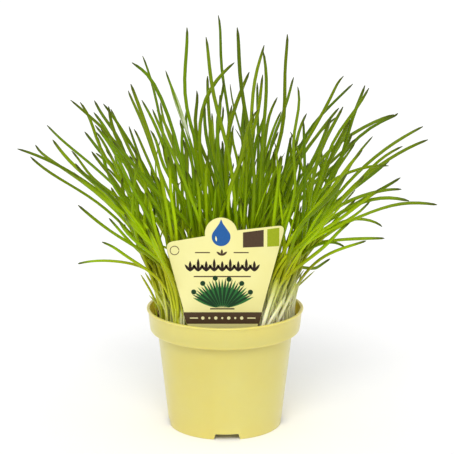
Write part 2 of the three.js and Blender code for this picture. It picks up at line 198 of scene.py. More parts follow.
@dataclass
class Leaf:
    """One leaf: its curve, its radius in millimetres, its last point if it is bent over."""

    curve: Curve
    radius: float
    bent_tip: Point | None = None
    cut: bool = False


@dataclass
class Plantlet:
    """A small bulb's sheath, from its foot in the peat to its collar, and its leaves."""

    tuft: int
    foot: Point
    axis: Point
    collar: Point
    turn: float
    leaves: list[Leaf] = field(default_factory=list)


@dataclass(frozen=True)
class GrowthSizes:
    """The sizes that the chives grow by: millimetres, degrees, shares and seeds."""

    # Tufts, the plantlets in them and their sheaths
    inner_ring: tuple[int, float, float, float] = (5, 21.5, 90, 72)
    outer_ring: tuple[int, float, float, float] = (10, 43, -45, 30)
    plantlets_per_tuft: int = 4
    leaves_per_plantlet: int = 3
    crown_radius: float = 8.2
    crown_least: float = 0.42
    crown_stray: float = 0.18
    sheath_foot: float = 81
    collar_low: float = 95
    collar_high: float = 124
    splay: float = 0.0054
    splay_forwards: float = 0.3
    stray: float = 0.05

    # A leaf's radius, its root in the sheath and its curve
    leaf_thin: float = 1.15
    leaf_thick: float = 1.4
    sunk: float = 5
    fan: float = 0.5
    aside: float = 0.2
    handle: float = 0.36
    depth_aim: float = 0.8
    links: int = 5
    inner_links: int = 4

    # The room that leaves keep from other tufts, and from their own beyond a distance
    cell: float = 3
    crowded: float = 28

    # Where no leaf goes: before the label, through the rim, and too far out
    label_depth: float = -43
    label_behind: float = 3
    label_half: float = 31
    label_widening: float = 0.27
    label_foot: float = 96
    label_top: float = 176
    pot_height: float = 92.5
    rim_above: float = 4
    rim_clear: float = 52.7
    soil: float = 84
    reach_deep: float = 112.5
    reach_across: float = 165

    # Leaves of the outline: their depth, how far they slide, and where they may grow from
    depth_spread: float = 90
    depth_turn: float = 2.4
    slide: float = 90
    slide_step: float = 3
    nearest: int = 6
    inward: float = 0.3

    # Leaves inside the outline
    inner_tries: int = 40
    inner_lean: float = 4
    lean_outward: float = 34
    lean_stray: float = 14
    seen_lean_stray: float = 0.8
    inner_length: float = 158
    length_stray: float = 62
    length_outward: float = 18
    swing_middle: float = 3.4
    swing_edge: float = 1.2

    # The seeds of the draws, and where the front view is seen from
    growth_seed: int = 77
    plant_seed: int = 2024
    eye: tuple[float, float, float] = (1.5, 1265, 455)


# Leaves that stand out in the front view: (tip across, tip up, lean of the tip in degrees)
OUTLINE_LEAVES: tuple[tuple[float, ...], ...] = (
    (-146, 209, -46), (-133, 233, -45), (-129, 222, -36), (-115, 252, -52),
    (-105, 228, -38), (-97, 233, -31), (-93, 231, -34), (-96, 225, -11), (-100, 213, -29),
    (-85, 245, -19), (-84, 221, -34), (-88, 200, -38), (-72, 259, -23), (-70, 264, -20),
    (-61, 285, -15), (-62, 252, -25), (-54, 245, -20), (-48, 250, -8), (-68, 230, -32),
    (-44, 274, -19), (-28, 306, 6), (-14, 299, -7), (-5, 315, -8), (-13, 270, 0),
    (-21, 259, 2), (-28, 246, 5), (-15, 248, 3), (-1, 267, 9), (-31, 240, 9),
    (9, 306, -5), (29, 293, 13), (28, 289, -7), (46, 301, -2), (51, 269, 20),
    (54, 262, -3), (95, 264, 52), (104, 263, 13), (107, 261, 33), (85, 246, 44),
    (88, 247, 25), (79, 240, 10), (96, 239, 31), (126, 241, 77), (148, 232, 64),
    (152, 222, 69), (133, 217, 58), (124, 207, 48), (123, 202, 92), (132, 193, 56),
    (133, 184, 90), (139, 175, 103), (119, 155, 133), (98, 223, 47),
    (92, 211, 47), (39, 254, 24), (28, 271, 4), (24, 265, -4), (18, 273, 27),
    (7, 280, 48), (31, 246, 15), (25, 245, 30), (14, 251, -10), (121, 146, 89),
    (107, 144, 67), (80, 130, 46), (91, 139, 120), (-112, 126, -102), (-76, 157, -17),
)

# Leaves bent over sharply: (bend across, bend up, lean at the bend, tip across, tip up)
BENT_LEAVES: tuple[tuple[float, ...], ...] = (
    (-137, 210, -62, -142, 218),
    (-54, 270, -23, -69, 280),
    (78, 258, 23, 88, 270),
    (123, 238, 68, 129, 242),
)

# The leaves that reach furthest to each side: (tip across, tip up, lean, depth of the tip)
REACHING_LEAVES: tuple[tuple[float, float, float, float], ...] = (
    (-155.6, 215, -73, 10),
    (160.2, 172, 99, -10),
    (92, 196, 34, -112),
    (-20, 205, -10, 112),
)


class ChiveGrowth:
    """Grows the plantlets and their leaves by the rule that the solids follow."""

    def __init__(self, sizes: GrowthSizes) -> None:
        """Sets the tufts' places."""
        self.sizes = sizes
        self.tufts = [(0.0, 0.0), *self._ring(sizes.inner_ring), *self._ring(sizes.outer_ring)]
        self.taken: dict[tuple[int, int, int], int] = {}
        self.plantlets: list[Plantlet] = []

    @staticmethod
    def _ring(ring: tuple[int, float, float, float]) -> list[Flat]:
        """Returns the places of (count, radius, first turn, step) round the pot's axis."""
        count, radius, turn, step = ring
        angles = [math.radians(turn + i * step) for i in range(count)]
        return [(radius * math.cos(a), radius * math.sin(a)) for a in angles]

    def grow(self) -> list[Plantlet]:
        """Grows every leaf of the solids.

        Returns:
            The plantlets with their leaves.
        """
        sizes = self.sizes
        draw = Draw(sizes.growth_seed)
        self.plantlets = self._plant()
        for plantlet in self.plantlets:
            self._claim([plantlet.foot, plantlet.collar], plantlet.tuft)

        def radius() -> float:
            """Returns a leaf's radius."""
            return sizes.leaf_thin + (sizes.leaf_thick - sizes.leaf_thin) * draw()

        for across, up, lean, depth in REACHING_LEAVES:
            self._grow_outline_leaf((across, up, lean), depth, 0, radius())
        for i, leaf in enumerate(BENT_LEAVES + OUTLINE_LEAVES):
            roundness = math.sqrt(max(0, 1 - (leaf[0] / sizes.reach_across) ** 2))
            depth = sizes.depth_spread * roundness * math.cos(i * sizes.depth_turn)
            self._grow_outline_leaf(leaf, depth, sizes.slide, radius())
        for round_of_growth in range(sizes.leaves_per_plantlet):
            for plantlet in self.plantlets:
                if len(plantlet.leaves) <= round_of_growth:
                    self._grow_inner_leaf(plantlet, draw, radius())
        return self.plantlets

    def _plant(self) -> list[Plantlet]:
        """Sets the plantlets in their tufts, leaning outwards, though less towards the label."""
        sizes = self.sizes
        draw = Draw(sizes.plant_seed)
        plantlets = []
        for tuft, (x, y) in enumerate(self.tufts):
            for i in range(sizes.plantlets_per_tuft):
                turn = (i * 2 * math.pi) / sizes.plantlets_per_tuft + tuft
                reach = sizes.crown_radius * (sizes.crown_least + sizes.crown_stray * draw())
                foot = (x + reach * math.cos(turn), y + reach * math.sin(turn), sizes.sheath_foot)
                forwards = sizes.splay_forwards if foot[1] < 0 else 1
                rightwards = foot[0] * sizes.splay + sizes.stray * (draw() - 0.5)
                backwards = foot[1] * sizes.splay * forwards + sizes.stray * (draw() - 0.5)
                axis = unit((rightwards, backwards, 1.0))
                height = sizes.collar_low + (sizes.collar_high - sizes.collar_low) * draw()
                collar = moved(foot, axis, height - sizes.sheath_foot)
                plantlets.append(Plantlet(tuft, foot, axis, collar, turn))
        return plantlets

    def _cell(self, point: Point) -> tuple[int, int, int]:
        """Returns the cell of space that a point lies in."""
        i, j, k = (math.floor(place / self.sizes.cell) for place in point)
        return (i, j, k)

    def _claim(self, line: Sequence[Point], tuft: int) -> None:
        """Marks the cells along a line, and those round them, as a tuft's."""
        around = list(product((-1, 0, 1), repeat=3))
        for point in (line[0], *steps(line)):
            i, j, k = self._cell(point)
            for dx, dy, dz in around:
                key = (i + dx, j + dy, k + dz)
                self.taken[key] = self.taken.get(key, 0) | (1 << tuft)

    def is_open_space(self, point: Point) -> bool:
        """Tells whether a point is behind the label, inside the pot's wall and above its rim."""
        x, y, z = point
        sizes = self.sizes
        half = sizes.label_half + sizes.label_widening * (z - sizes.label_foot)
        beside_label = abs(x) > half or z > sizes.label_top
        above_rim = z > sizes.pot_height + sizes.rim_above
        clear_of_rim = above_rim or math.hypot(x, y) < sizes.rim_clear
        clear_of_label = self.is_behind_label(point) or beside_label
        return clear_of_label and clear_of_rim and abs(y) < sizes.reach_deep

    def is_behind_label(self, point: Point) -> bool:
        """Tells whether a point is further back than the label."""
        return point[1] > self.sizes.label_depth + self.sizes.label_behind

    def _is_clear(self, line: Sequence[Point], plantlet: Plantlet, roomy: bool) -> bool:
        """Tells whether a line is clear of other tufts and, where roomy, of its own too."""
        for point in steps(line):
            others = self.taken.get(self._cell(point), 0)
            apart = roomy and math.dist(point, plantlet.collar) > self.sizes.crowded
            if not self.is_open_space(point):
                return False
            if (others if apart else others & ~(1 << plantlet.tuft)) != 0:
                return False
        return True

    def at_depth(self, across: float, up: float, depth: float) -> Point:
        """Moves a point of the front view's plane along its sight line, to a depth."""
        eye_x, eye_distance, eye_height = self.sizes.eye
        t = 1 + depth / eye_distance
        return (eye_x + (across - eye_x) * t, depth, eye_height + (up - eye_height) * t)

    def leaf_curve(self, plantlet: Plantlet, tip: Point, lean: float) -> Curve:
        """Gives a leaf's curve from its sheath to its tip.

        Args:
            plantlet: The plantlet that it grows from, with the leaves that it has.
            tip: Where the leaf ends.
            lean: The way that the tip points, in degrees from upright.

        Returns:
            The curve.
        """
        start, rise = self._leaf_start(plantlet)
        length = math.dist(start, tip)
        angle = math.radians(lean)
        deep = (self.sizes.depth_aim * (tip[1] - start[1])) / length
        aim = unit((math.sin(angle), deep, math.cos(angle)))
        handle = self.sizes.handle * length
        return Curve(start, moved(start, rise, handle), moved(tip, aim, -handle), tip)

    def _leaf_start(self, plantlet: Plantlet) -> tuple[Point, Point]:
        """Returns where the next leaf of a plantlet starts, and the way that it sets out."""
        if not plantlet.leaves:
            return plantlet.collar, plantlet.axis
        share = len(plantlet.leaves) / self.sizes.leaves_per_plantlet
        angle = plantlet.turn + share * 2 * math.pi
        side = side_way(angle)
        root = moved(plantlet.collar, plantlet.axis, -self.sizes.sunk)
        rise = unit(moved(plantlet.axis, side, self.sizes.aside))
        return moved(root, side, self.sizes.fan), rise

    def _grow_first_clear(self, tried: list[tuple[Plantlet, Leaf, int]]) -> None:
        """Grows the first of the leaves tried that is clear, a roomy one if there is one."""
        for roomy in (True, False):
            for plantlet, leaf, links in tried:
                line = leaf.curve.points(links)
                if leaf.bent_tip:
                    line.append(leaf.bent_tip)
                if self._is_clear(line, plantlet, roomy):
                    self._claim(line, plantlet.tuft)
                    plantlet.leaves.append(leaf)
                    return

    def _nearest(self, x: float, y: float, most: int) -> list[Plantlet]:
        """Returns the plantlets that still have room, nearest first to a place on the peat."""
        roomy = [p for p in self.plantlets if len(p.leaves) < self.sizes.leaves_per_plantlet]
        return sorted(roomy, key=lambda p: math.hypot(p.foot[0] - x, p.foot[1] - y))[:most]

    def _grow_outline_leaf(
        self, leaf: Sequence[float], depth: float, slide: float, radius: float
    ) -> None:
        """Grows a leaf to a tip seen in the front view.

        Args:
            leaf: The tip across and up, its lean and, if it is bent, its last point.
            depth: How far behind the pot's axis the tip lies.
            slide: How far the tip may slide along its sight line to be clear.
            radius: The leaf's radius.
        """
        across, up, lean, *bend = leaf
        sizes = self.sizes
        tried = []
        shift = 0.0
        near = self._nearest(across * sizes.inward, depth * sizes.inward, sizes.nearest)
        while shift <= slide:
            tip = self.at_depth(across, up, depth + shift)
            bent_tip = self.at_depth(bend[0], bend[1], depth + shift) if bend else None
            for plantlet in near:
                curve = self.leaf_curve(plantlet, tip, lean)
                tried.append((plantlet, Leaf(curve, radius, bent_tip), sizes.links))
            shift = -shift if shift > 0 else sizes.slide_step - shift
        self._grow_first_clear(tried)

    def _grow_inner_leaf(self, plantlet: Plantlet, draw: Draw, radius: float) -> None:
        """Grows one of the many leaves inside the outline, leaning out by an amount of its own."""
        x, y, _ = plantlet.foot
        sizes = self.sizes
        outward = math.hypot(x, y) / (sizes.outer_ring[1] + sizes.crown_radius)
        swing = (1 - outward) * sizes.swing_middle + outward * sizes.swing_edge
        tried = []
        for _ in range(sizes.inner_tries):
            turn = math.atan2(y, x) + (draw() - 0.5) * swing
            lean_degrees = sizes.inner_lean + sizes.lean_outward * outward * draw()
            lean_degrees += sizes.lean_stray * draw()
            lean = math.radians(lean_degrees)
            length = sizes.inner_length - sizes.length_stray * draw()
            length -= sizes.length_outward * outward
            out = math.sin(lean)
            way = (out * math.cos(turn), out * math.sin(turn), math.cos(lean))
            tip = moved(plantlet.collar, way, length)
            seen_lean = lean_degrees * math.cos(turn) * (1 + sizes.seen_lean_stray * draw())
            curve = self.leaf_curve(plantlet, tip, seen_lean)
            tried.append((plantlet, Leaf(curve, radius), sizes.inner_links))
        self._grow_first_clear(tried)


# Modelling by hand: primitives, edit mode and what finishes a piece


def deselect_all() -> None:
    """Leaves edit mode and deselects every object."""
    if bpy.context.object and bpy.context.object.mode != "OBJECT":
        bpy.ops.object.mode_set(mode="OBJECT")
    bpy.ops.object.select_all(action="DESELECT")


def active(name: str | None = None) -> bpy.types.Object:
    """Returns the active object, with its name if one is given."""
    piece = bpy.context.view_layer.objects.active
    if name:
        piece.name = name
        piece.data.name = name
    return piece


def choose(piece: bpy.types.Object) -> None:
    """Makes a piece the only one selected, and the active one."""
    deselect_all()
    piece.select_set(True)
    bpy.context.view_layer.objects.active = piece


def edit(piece: bpy.types.Object) -> None:
    """Goes into edit mode on a piece with nothing selected."""
    choose(piece)
    bpy.ops.object.mode_set(mode="EDIT")
    bpy.ops.mesh.select_all(action="DESELECT")


def select_edges(piece: bpy.types.Object, wanted: Callable[[Vector, Vector], bool]) -> None:
    """Selects in edit mode the edges whose two ends pass a test.

    Args:
        piece: The object that is being edited.
        wanted: The test, given an edge's two ends.
    """
    bpy.ops.mesh.select_mode(type="EDGE")
    mesh = bmesh.from_edit_mesh(piece.data)
    for edge in mesh.edges:
        if wanted(*(vert.co for vert in edge.verts)):
            edge.select_set(True)
    bmesh.update_edit_mesh(piece.data)


def select_verts(piece: bpy.types.Object, wanted: Callable[[Vector], bool]) -> None:
    """Selects in edit mode the vertices that pass a test.

    Args:
        piece: The object that is being edited.
        wanted: The test, given a vertex's place.
    """
    bpy.ops.mesh.select_mode(type="VERT")
    mesh = bmesh.from_edit_mesh(piece.data)
    for vert in mesh.verts:
        if wanted(vert.co):
            vert.select_set(True)
    mesh.select_flush(True)
    bmesh.update_edit_mesh(piece.data)


def close_up(piece: bpy.types.Object, smooth_degrees: float = 35) -> None:
    """Merges a closed piece's doubles, points its faces outwards and smooths its flat angles."""
    edit(piece)
    bpy.ops.mesh.select_all(action="SELECT")
    bpy.ops.mesh.remove_doubles(threshold=1e-6)
    bpy.ops.mesh.normals_make_consistent(inside=False)
    bpy.ops.object.mode_set(mode="OBJECT")
    bpy.ops.object.transform_apply(location=True, rotation=True, scale=True)
    bpy.ops.object.shade_smooth_by_angle(angle=math.radians(smooth_degrees))


def apply_modifier(piece: bpy.types.Object, kind: str, **settings: object) -> None:
    """Puts a modifier on a piece and applies it.

    Args:
        piece: The piece.
        kind: Blender's name for the modifier's type.
        **settings: The modifier's settings.
    """
    choose(piece)
    modifier = piece.modifiers.new(kind.title(), kind)
    for key, value in settings.items():
        setattr(modifier, key, value)
    bpy.ops.object.modifier_apply(modifier=modifier.name)


def joined(pieces: Sequence[bpy.types.Object], name: str) -> bpy.types.Object:
    """Joins pieces into the first of them and names it."""
    deselect_all()
    for piece in pieces:
        piece.select_set(True)
    bpy.context.view_layer.objects.active = pieces[0]
    if len(pieces) > 1:
        bpy.ops.object.join()
    return active(name)


def walked_shell(name: str, rings: Sequence[Flat], sides: int) -> bpy.types.Object:
    """Extrudes a round face from ring to ring into one closed shell.

    Args:
        name: The piece's name.
        rings: The rings' (radius, height) in millimetres, from one closed end to the other.
        sides: The number of sides of each ring.

    Returns:
        The piece.
    """
    deselect_all()
    radius, height = rings[0]
    bpy.ops.mesh.primitive_circle_add(
        vertices=sides, radius=radius * MM, fill_type="NGON", location=(0, 0, height * MM)
    )
    piece = active(name)
    bpy.ops.object.transform_apply(location=True, rotation=True, scale=True)
    bpy.ops.object.mode_set(mode="EDIT")
    bpy.ops.mesh.select_all(action="SELECT")
    for (before, low), (after, high) in zip(rings, rings[1:]):
        bpy.ops.mesh.extrude_region_move(
            TRANSFORM_OT_translate={"value": (0, 0, (high - low) * MM)}
        )
        share = after / before
        bpy.ops.transform.resize(value=(share, share, 1), center_override=(0, 0, high * MM))
    bpy.ops.object.mode_set(mode="OBJECT")
    return piece


def dress(
    piece: bpy.types.Object, material: bpy.types.Material, slot: Slot, *nodes: str
) -> bpy.types.Object:
    """Gives a piece its material and its place in the frame.

    Args:
        piece: The finished piece.
        material: What it is made of.
        slot: The record's slot for its finish; not used.
        *nodes: The CAD nodes that it stands for.

    Returns:
        The piece.
    """
    piece.data.materials.clear()
    piece.data.materials.append(material)
    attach(piece, BODY)
    if nodes:
        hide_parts(*nodes)
    faces = len(piece.data.polygons)
    LOG.info("%s: %d faces, %s", piece.name, faces, material.name)
    return piece


# Leaves are one modelled tube, bent along each leaf's own line


@dataclass
class Swept:
    """A tube bent along a line: its vertices, and for each its distance from root and tip."""

    verts: np.ndarray
    from_root: np.ndarray
    from_tip: np.ndarray


def taken_mesh(piece: bpy.types.Object) -> tuple[np.ndarray, list[tuple[int, ...]]]:
    """Returns a master's vertices and faces, and removes the master."""
    verts = np.array([vert.co[:] for vert in piece.data.vertices])
    faces = [tuple(face.vertices) for face in piece.data.polygons]
    bpy.data.objects.remove(piece)
    return verts, faces


def run_along(line: np.ndarray) -> np.ndarray:
    """Returns how far along a line each of its points is."""
    return np.concatenate([[0], np.cumsum(np.linalg.norm(np.diff(line, axis=0), axis=1))])


class MasterTube:
    """A closed tube of unit radius and length, modelled once and bent for every copy."""

    def __init__(self, name: str, sides: int, rings: int) -> None:
        """Models the tube and keeps its mesh.

        Args:
            name: The name while it is modelled.
            sides: The sides round it.
            rings: The stretches along it.
        """
        deselect_all()
        bpy.ops.mesh.primitive_cylinder_add(
            vertices=sides, radius=1, depth=1, end_fill_type="NGON", location=(0, 0, 0.5)
        )
        piece = active(name)
        bpy.ops.object.transform_apply(location=True, rotation=True, scale=True)
        edit(piece)
        select_edges(piece, lambda a, b: abs(a.z - b.z) > 0.5)
        bpy.ops.mesh.subdivide(number_cuts=rings - 1)
        bpy.ops.object.mode_set(mode="OBJECT")
        self.rings = rings
        self.place, self.faces = taken_mesh(piece)
        self.ring = np.rint(self.place[:, 2] * rings).astype(int)

    def along(self, line: np.ndarray, radii: np.ndarray, flat: float, twist: float) -> Swept:
        """Bends a copy of the tube along a line.

        Args:
            line: The line's points, one for each ring, in millimetres.
            radii: The tube's radius at each ring, in millimetres.
            flat: The section's thickness as a share of its width.
            twist: The turn of the section from end to end, in radians.

        Returns:
            The bent copy.
        """
        along = np.gradient(line, axis=0)
        along /= np.linalg.norm(along, axis=1)[:, None]
        side = np.cross(along[0], OFF_TUBE)
        sides = []
        for way in along:
            side = side - way * np.dot(side, way)
            side = side / np.linalg.norm(side)
            sides.append(side)
        side_of = np.array(sides)
        over_of = np.cross(along, side_of)
        turn = np.linspace(0, twist, len(line))[self.ring]
        x = self.place[:, 0] * np.cos(turn) - flat * self.place[:, 1] * np.sin(turn)
        y = self.place[:, 0] * np.sin(turn) + flat * self.place[:, 1] * np.cos(turn)
        reach = radii[self.ring]
        verts = (
            line[self.ring]
            + side_of[self.ring] * (x * reach)[:, None]
            + over_of[self.ring] * (y * reach)[:, None]
        )
        run = run_along(line)
        return Swept(verts, run[self.ring], (run[-1] - run)[self.ring])


class MeshPile:
    """Gathers bent tubes into one mesh, with what its material reads."""

    def __init__(self) -> None:
        """Starts an empty pile."""
        self.verts: list[np.ndarray] = []
        self.faces: list[tuple[int, ...]] = []
        self.values: dict[str, list[np.ndarray]] = {}
        self.count = 0

    def add(
        self, verts: np.ndarray, faces: Iterable[tuple[int, ...]], **values: np.ndarray | float
    ) -> None:
        """Adds a copy of a shape.

        Args:
            verts: Its vertices, in millimetres.
            faces: Its faces.
            **values: The attributes' values, one for each vertex or one for all.
        """
        self.verts.append(verts)
        self.faces.extend(tuple(v + self.count for v in face) for face in faces)
        self.count += len(verts)
        for name, value in values.items():
            spread = np.broadcast_to(np.asarray(value, dtype=float), (len(verts),))
            self.values.setdefault(name, []).append(spread)

    def piece(self, name: str) -> bpy.types.Object:
        """Makes the piece.

        Args:
            name: Its name.

        Returns:
            The piece, smooth and in the scene.
        """
        mesh = bpy.data.meshes.new(name)
        mesh.from_pydata((np.concatenate(self.verts) * MM).tolist(), [], self.faces)
        for key, values in self.values.items():
            attribute = mesh.attributes.new(key, "FLOAT", "POINT")
            attribute.data.foreach_set("value", np.concatenate(values))
        mesh.polygons.foreach_set("use_smooth", [True] * len(mesh.polygons))
        piece = bpy.data.objects.new(name, mesh)
        bpy.context.scene.collection.objects.link(piece)
        return piece


# Shader building


@dataclass(frozen=True)
class Patches:
    """How fine a mottle is, and the noise values at which its patches start and are full."""

    scale: float
    low: float = 0.3
    high: float = 0.7


class Shader:
    """A material's node tree, with short ways to add and join its nodes."""

    def __init__(self, name: str) -> None:
        """Starts a material with a Principled shader."""
        self.material = bpy.data.materials.new(name)
        self.material.use_nodes = True
        self.tree = self.material.node_tree
        self.principled = self.tree.nodes["Principled BSDF"]

    def add(self, kind: str, **settings: object) -> bpy.types.Node:
        """Adds a node with its settings."""
        node = self.tree.nodes.new(kind)
        for key, value in settings.items():
            setattr(node, key, value)
        return node

    def join(self, start: bpy.types.NodeSocket, end: bpy.types.NodeSocket) -> None:
        """Joins two sockets."""
        self.tree.links.new(start, end)

    def set(self, **values: object) -> None:
        """Sets the shader's own sockets, with underscores in place of the names' spaces."""
        for key, value in values.items():
            self.principled.inputs[key.replace("_", " ")].default_value = value

    def place(self, scale: Point = (1, 1, 1)) -> bpy.types.NodeSocket:
        """Returns the object's own coordinates, scaled."""
        coordinates = self.add("ShaderNodeTexCoord")
        mapping = self.add("ShaderNodeMapping")
        mapping.inputs["Scale"].default_value = scale
        self.join(coordinates.outputs["Object"], mapping.inputs["Vector"])
        return mapping.outputs["Vector"]

    def attribute(self, name: str) -> bpy.types.NodeSocket:
        """Returns a mesh attribute's value."""
        return self.add("ShaderNodeAttribute", attribute_name=name).outputs["Fac"]

    def spread(
        self, value: bpy.types.NodeSocket, low: float, high: float, to: tuple[float, float] = (0, 1)
    ) -> bpy.types.NodeSocket:
        """Maps a value from the range low to high onto another range, and holds it there."""
        node = self.add("ShaderNodeMapRange", clamp=True)
        for socket, end in zip(("From Min", "From Max", "To Min", "To Max"), (low, high, *to)):
            node.inputs[socket].default_value = end
        self.join(value, node.inputs["Value"])
        return node.outputs["Result"]

    def math(
        self, operation: str, a: bpy.types.NodeSocket, b: bpy.types.NodeSocket
    ) -> bpy.types.NodeSocket:
        """Returns what a math operation makes of two sockets."""
        node = self.add("ShaderNodeMath", operation=operation)
        self.join(a, node.inputs[0])
        self.join(b, node.inputs[1])
        return node.outputs[0]

    def ramp(
        self, value: bpy.types.NodeSocket, stops: Sequence[tuple[float, Colour]]
    ) -> bpy.types.NodeSocket:
        """Returns the colour that a value from 0 to 1 has along the stops."""
        node = self.add("ShaderNodeValToRGB")
        band = node.color_ramp
        while len(band.elements) < len(stops):
            band.elements.new(0.5)
        for element, (position, colour) in zip(band.elements, stops):
            element.position = position
            element.color = colour
        self.join(value, node.inputs["Fac"])
        return node.outputs["Color"]

    def mix(
        self,
        share: bpy.types.NodeSocket | float,
        a: bpy.types.NodeSocket | Colour,
        b: bpy.types.NodeSocket | Colour,
        blend: str = "MIX",
    ) -> bpy.types.NodeSocket:
        """Returns the colour between a and b, by a share or a socket."""
        node = self.add("ShaderNodeMix", data_type="RGBA", blend_type=blend)
        for socket, value in ((node.inputs[0], share), (node.inputs[6], a), (node.inputs[7], b)):
            if isinstance(value, bpy.types.NodeSocket):
                self.join(value, socket)
            else:
                socket.default_value = value
        return node.outputs[2]

    def mottle(self, place: bpy.types.NodeSocket, patches: Patches) -> bpy.types.NodeSocket:
        """Returns a patchy mask from the shared mottle group."""
        node = self.add("ShaderNodeGroup")
        node.node_tree = mottle_group()
        for socket in ("Scale", "Low", "High"):
            node.inputs[socket].default_value = getattr(patches, socket.lower())
        self.join(place, node.inputs["Vector"])
        return node.outputs["Mask"]

    def bump(self, height: bpy.types.NodeSocket, distance: float, strength: float) -> None:
        """Raises the surface by a height."""
        node = self.add("ShaderNodeBump")
        node.inputs["Distance"].default_value = distance
        node.inputs["Strength"].default_value = strength
        self.join(height, node.inputs["Height"])
        self.join(node.outputs["Normal"], self.principled.inputs["Normal"])

    def colour(self, colour: bpy.types.NodeSocket) -> None:
        """Gives the shader its colour."""
        self.join(colour, self.principled.inputs["Base Color"])

    def roughness(self, value: bpy.types.NodeSocket) -> None:
        """Gives the shader its roughness."""
        self.join(value, self.principled.inputs["Roughness"])


def mottle_group() -> bpy.types.NodeTree:
    """Returns the node group for patchy tone, which is built once.

    Returns:
        A group that turns a place into a mask from 0 to 1.
    """
    name = "mottle"
    if name in bpy.data.node_groups:
        return bpy.data.node_groups[name]
    group = bpy.data.node_groups.new(name, "ShaderNodeTree")
    group.interface.new_socket("Vector", in_out="INPUT", socket_type="NodeSocketVector")
    for socket, value in (("Scale", 100.0), ("Low", 0.4), ("High", 0.6)):
        made = group.interface.new_socket(socket, in_out="INPUT", socket_type="NodeSocketFloat")
        made.default_value = value
    group.interface.new_socket("Mask", in_out="OUTPUT", socket_type="NodeSocketFloat")
    start = group.nodes.new("NodeGroupInput")
    end = group.nodes.new("NodeGroupOutput")
    noise = group.nodes.new("ShaderNodeTexNoise")
    noise.inputs["Detail"].default_value = 4
    spread = group.nodes.new("ShaderNodeMapRange")
    group.links.new(start.outputs["Vector"], noise.inputs["Vector"])
    group.links.new(start.outputs["Scale"], noise.inputs["Scale"])
    group.links.new(noise.outputs["Fac"], spread.inputs["Value"])
    group.links.new(start.outputs["Low"], spread.inputs["From Min"])
    group.links.new(start.outputs["High"], spread.inputs["From Max"])
    group.links.new(spread.outputs["Result"], end.inputs["Mask"])
    return group


# Finishes


@dataclass(frozen=True)
class TwoTone:
    """A surface that has two tones in patches, and may have a grain and bumps.

    Where it has bumps but no patches for them, they follow its grain. Its grain varies its
    roughness over a range.
    """

    name: str
    base: Colour
    other: Colour
    patches: Patches
    grain: Patches | None = None
    roughness: tuple[float, float] = (0.5, 0.5)
    bumps: Patches | None = None
    bump: tuple[float, float] | None = None
    sockets: tuple[tuple[str, object], ...] = ()

    def material(self) -> bpy.types.Material:
        """Builds the material."""
        shader = Shader(self.name)
        place = shader.place()
        patches = shader.mottle(place, self.patches)
        shader.colour(shader.mix(patches, self.base, self.other))
        if self.grain:
            grain = shader.mottle(place, self.grain)
            shader.roughness(shader.spread(grain, 0, 1, self.roughness))
        if self.bump:
            shader.bump(shader.mottle(place, self.bumps) if self.bumps else grain, *self.bump)
        shader.set(**dict(self.sockets))
        return shader.material


# Pale yellow moulded plastic: satin, a little see-through, mottled by the mould
POT_PLASTIC = TwoTone(
    "pale_pot_plastic", srgb(220, 202, 107), srgb(221, 208, 121), Patches(18, 0.35, 0.7),
    grain=Patches(260, 0.1, 0.9), roughness=(0.26, 0.34),
    bumps=Patches(70, 0.1, 0.9), bump=(0.0003, 0.15),
    sockets=(
        ("Subsurface_Weight", 0.5), ("Subsurface_Scale", 0.008),
        ("Subsurface_Radius", (1.0, 0.85, 0.35)), ("Coat_Weight", 0.12),
        ("Coat_Roughness", 0.12),
    ),
)

# Dark brown peat, fully matte, with lighter crumbs and bits
PEAT_CRUMB = TwoTone(
    "peat_crumb", srgb(52, 38, 24), srgb(122, 94, 60), Patches(420, 0.38, 0.72),
    bumps=Patches(900), bump=(0.0008, 0.8),
    sockets=(("Roughness", 0.95), ("Specular_IOR_Level", 0.2)),
)

# Coated card of the plant label, cream with a soft gloss
LABEL_CARD = TwoTone(
    "label_card", srgb(232, 226, 156), srgb(228, 220, 142), Patches(30),
    grain=Patches(1500), roughness=(0.36, 0.46), bump=(0.00005, 0.15),
)

# The pale floor
STUDIO_FLOOR = TwoTone(
    "studio_floor", (0.98, 0.98, 0.98, 1.0), (0.96, 0.96, 0.96, 1.0), Patches(3),
    sockets=(("Roughness", 0.9), ("Specular_IOR_Level", 0.1)),
)


def fibre(name: str, pale: Colour, brown: Colour) -> TwoTone:
    """Returns the finish of dry root or leaf fibre, from a pale tone to a brown one."""
    return TwoTone(
        name, pale, brown, Patches(160, 0.35, 0.65), bumps=Patches(1400), bump=(0.0002, 0.4),
        sockets=(("Roughness", 0.8), ("Specular_IOR_Level", 0.3)),
    )


def printed_ink(name: str, ink: Colour) -> TwoTone:
    """Returns the finish of ink printed on the card, laid down a little unevenly."""
    thin = (*(min(1.0, c * 1.2 + 0.003) for c in ink[:3]), 1.0)
    grain = Patches(900, 0.3, 0.75)
    sockets = (("Specular_IOR_Level", 0.2),)
    return TwoTone(name, ink, thin, grain, grain=grain, roughness=(0.4, 0.5), sockets=sockets)


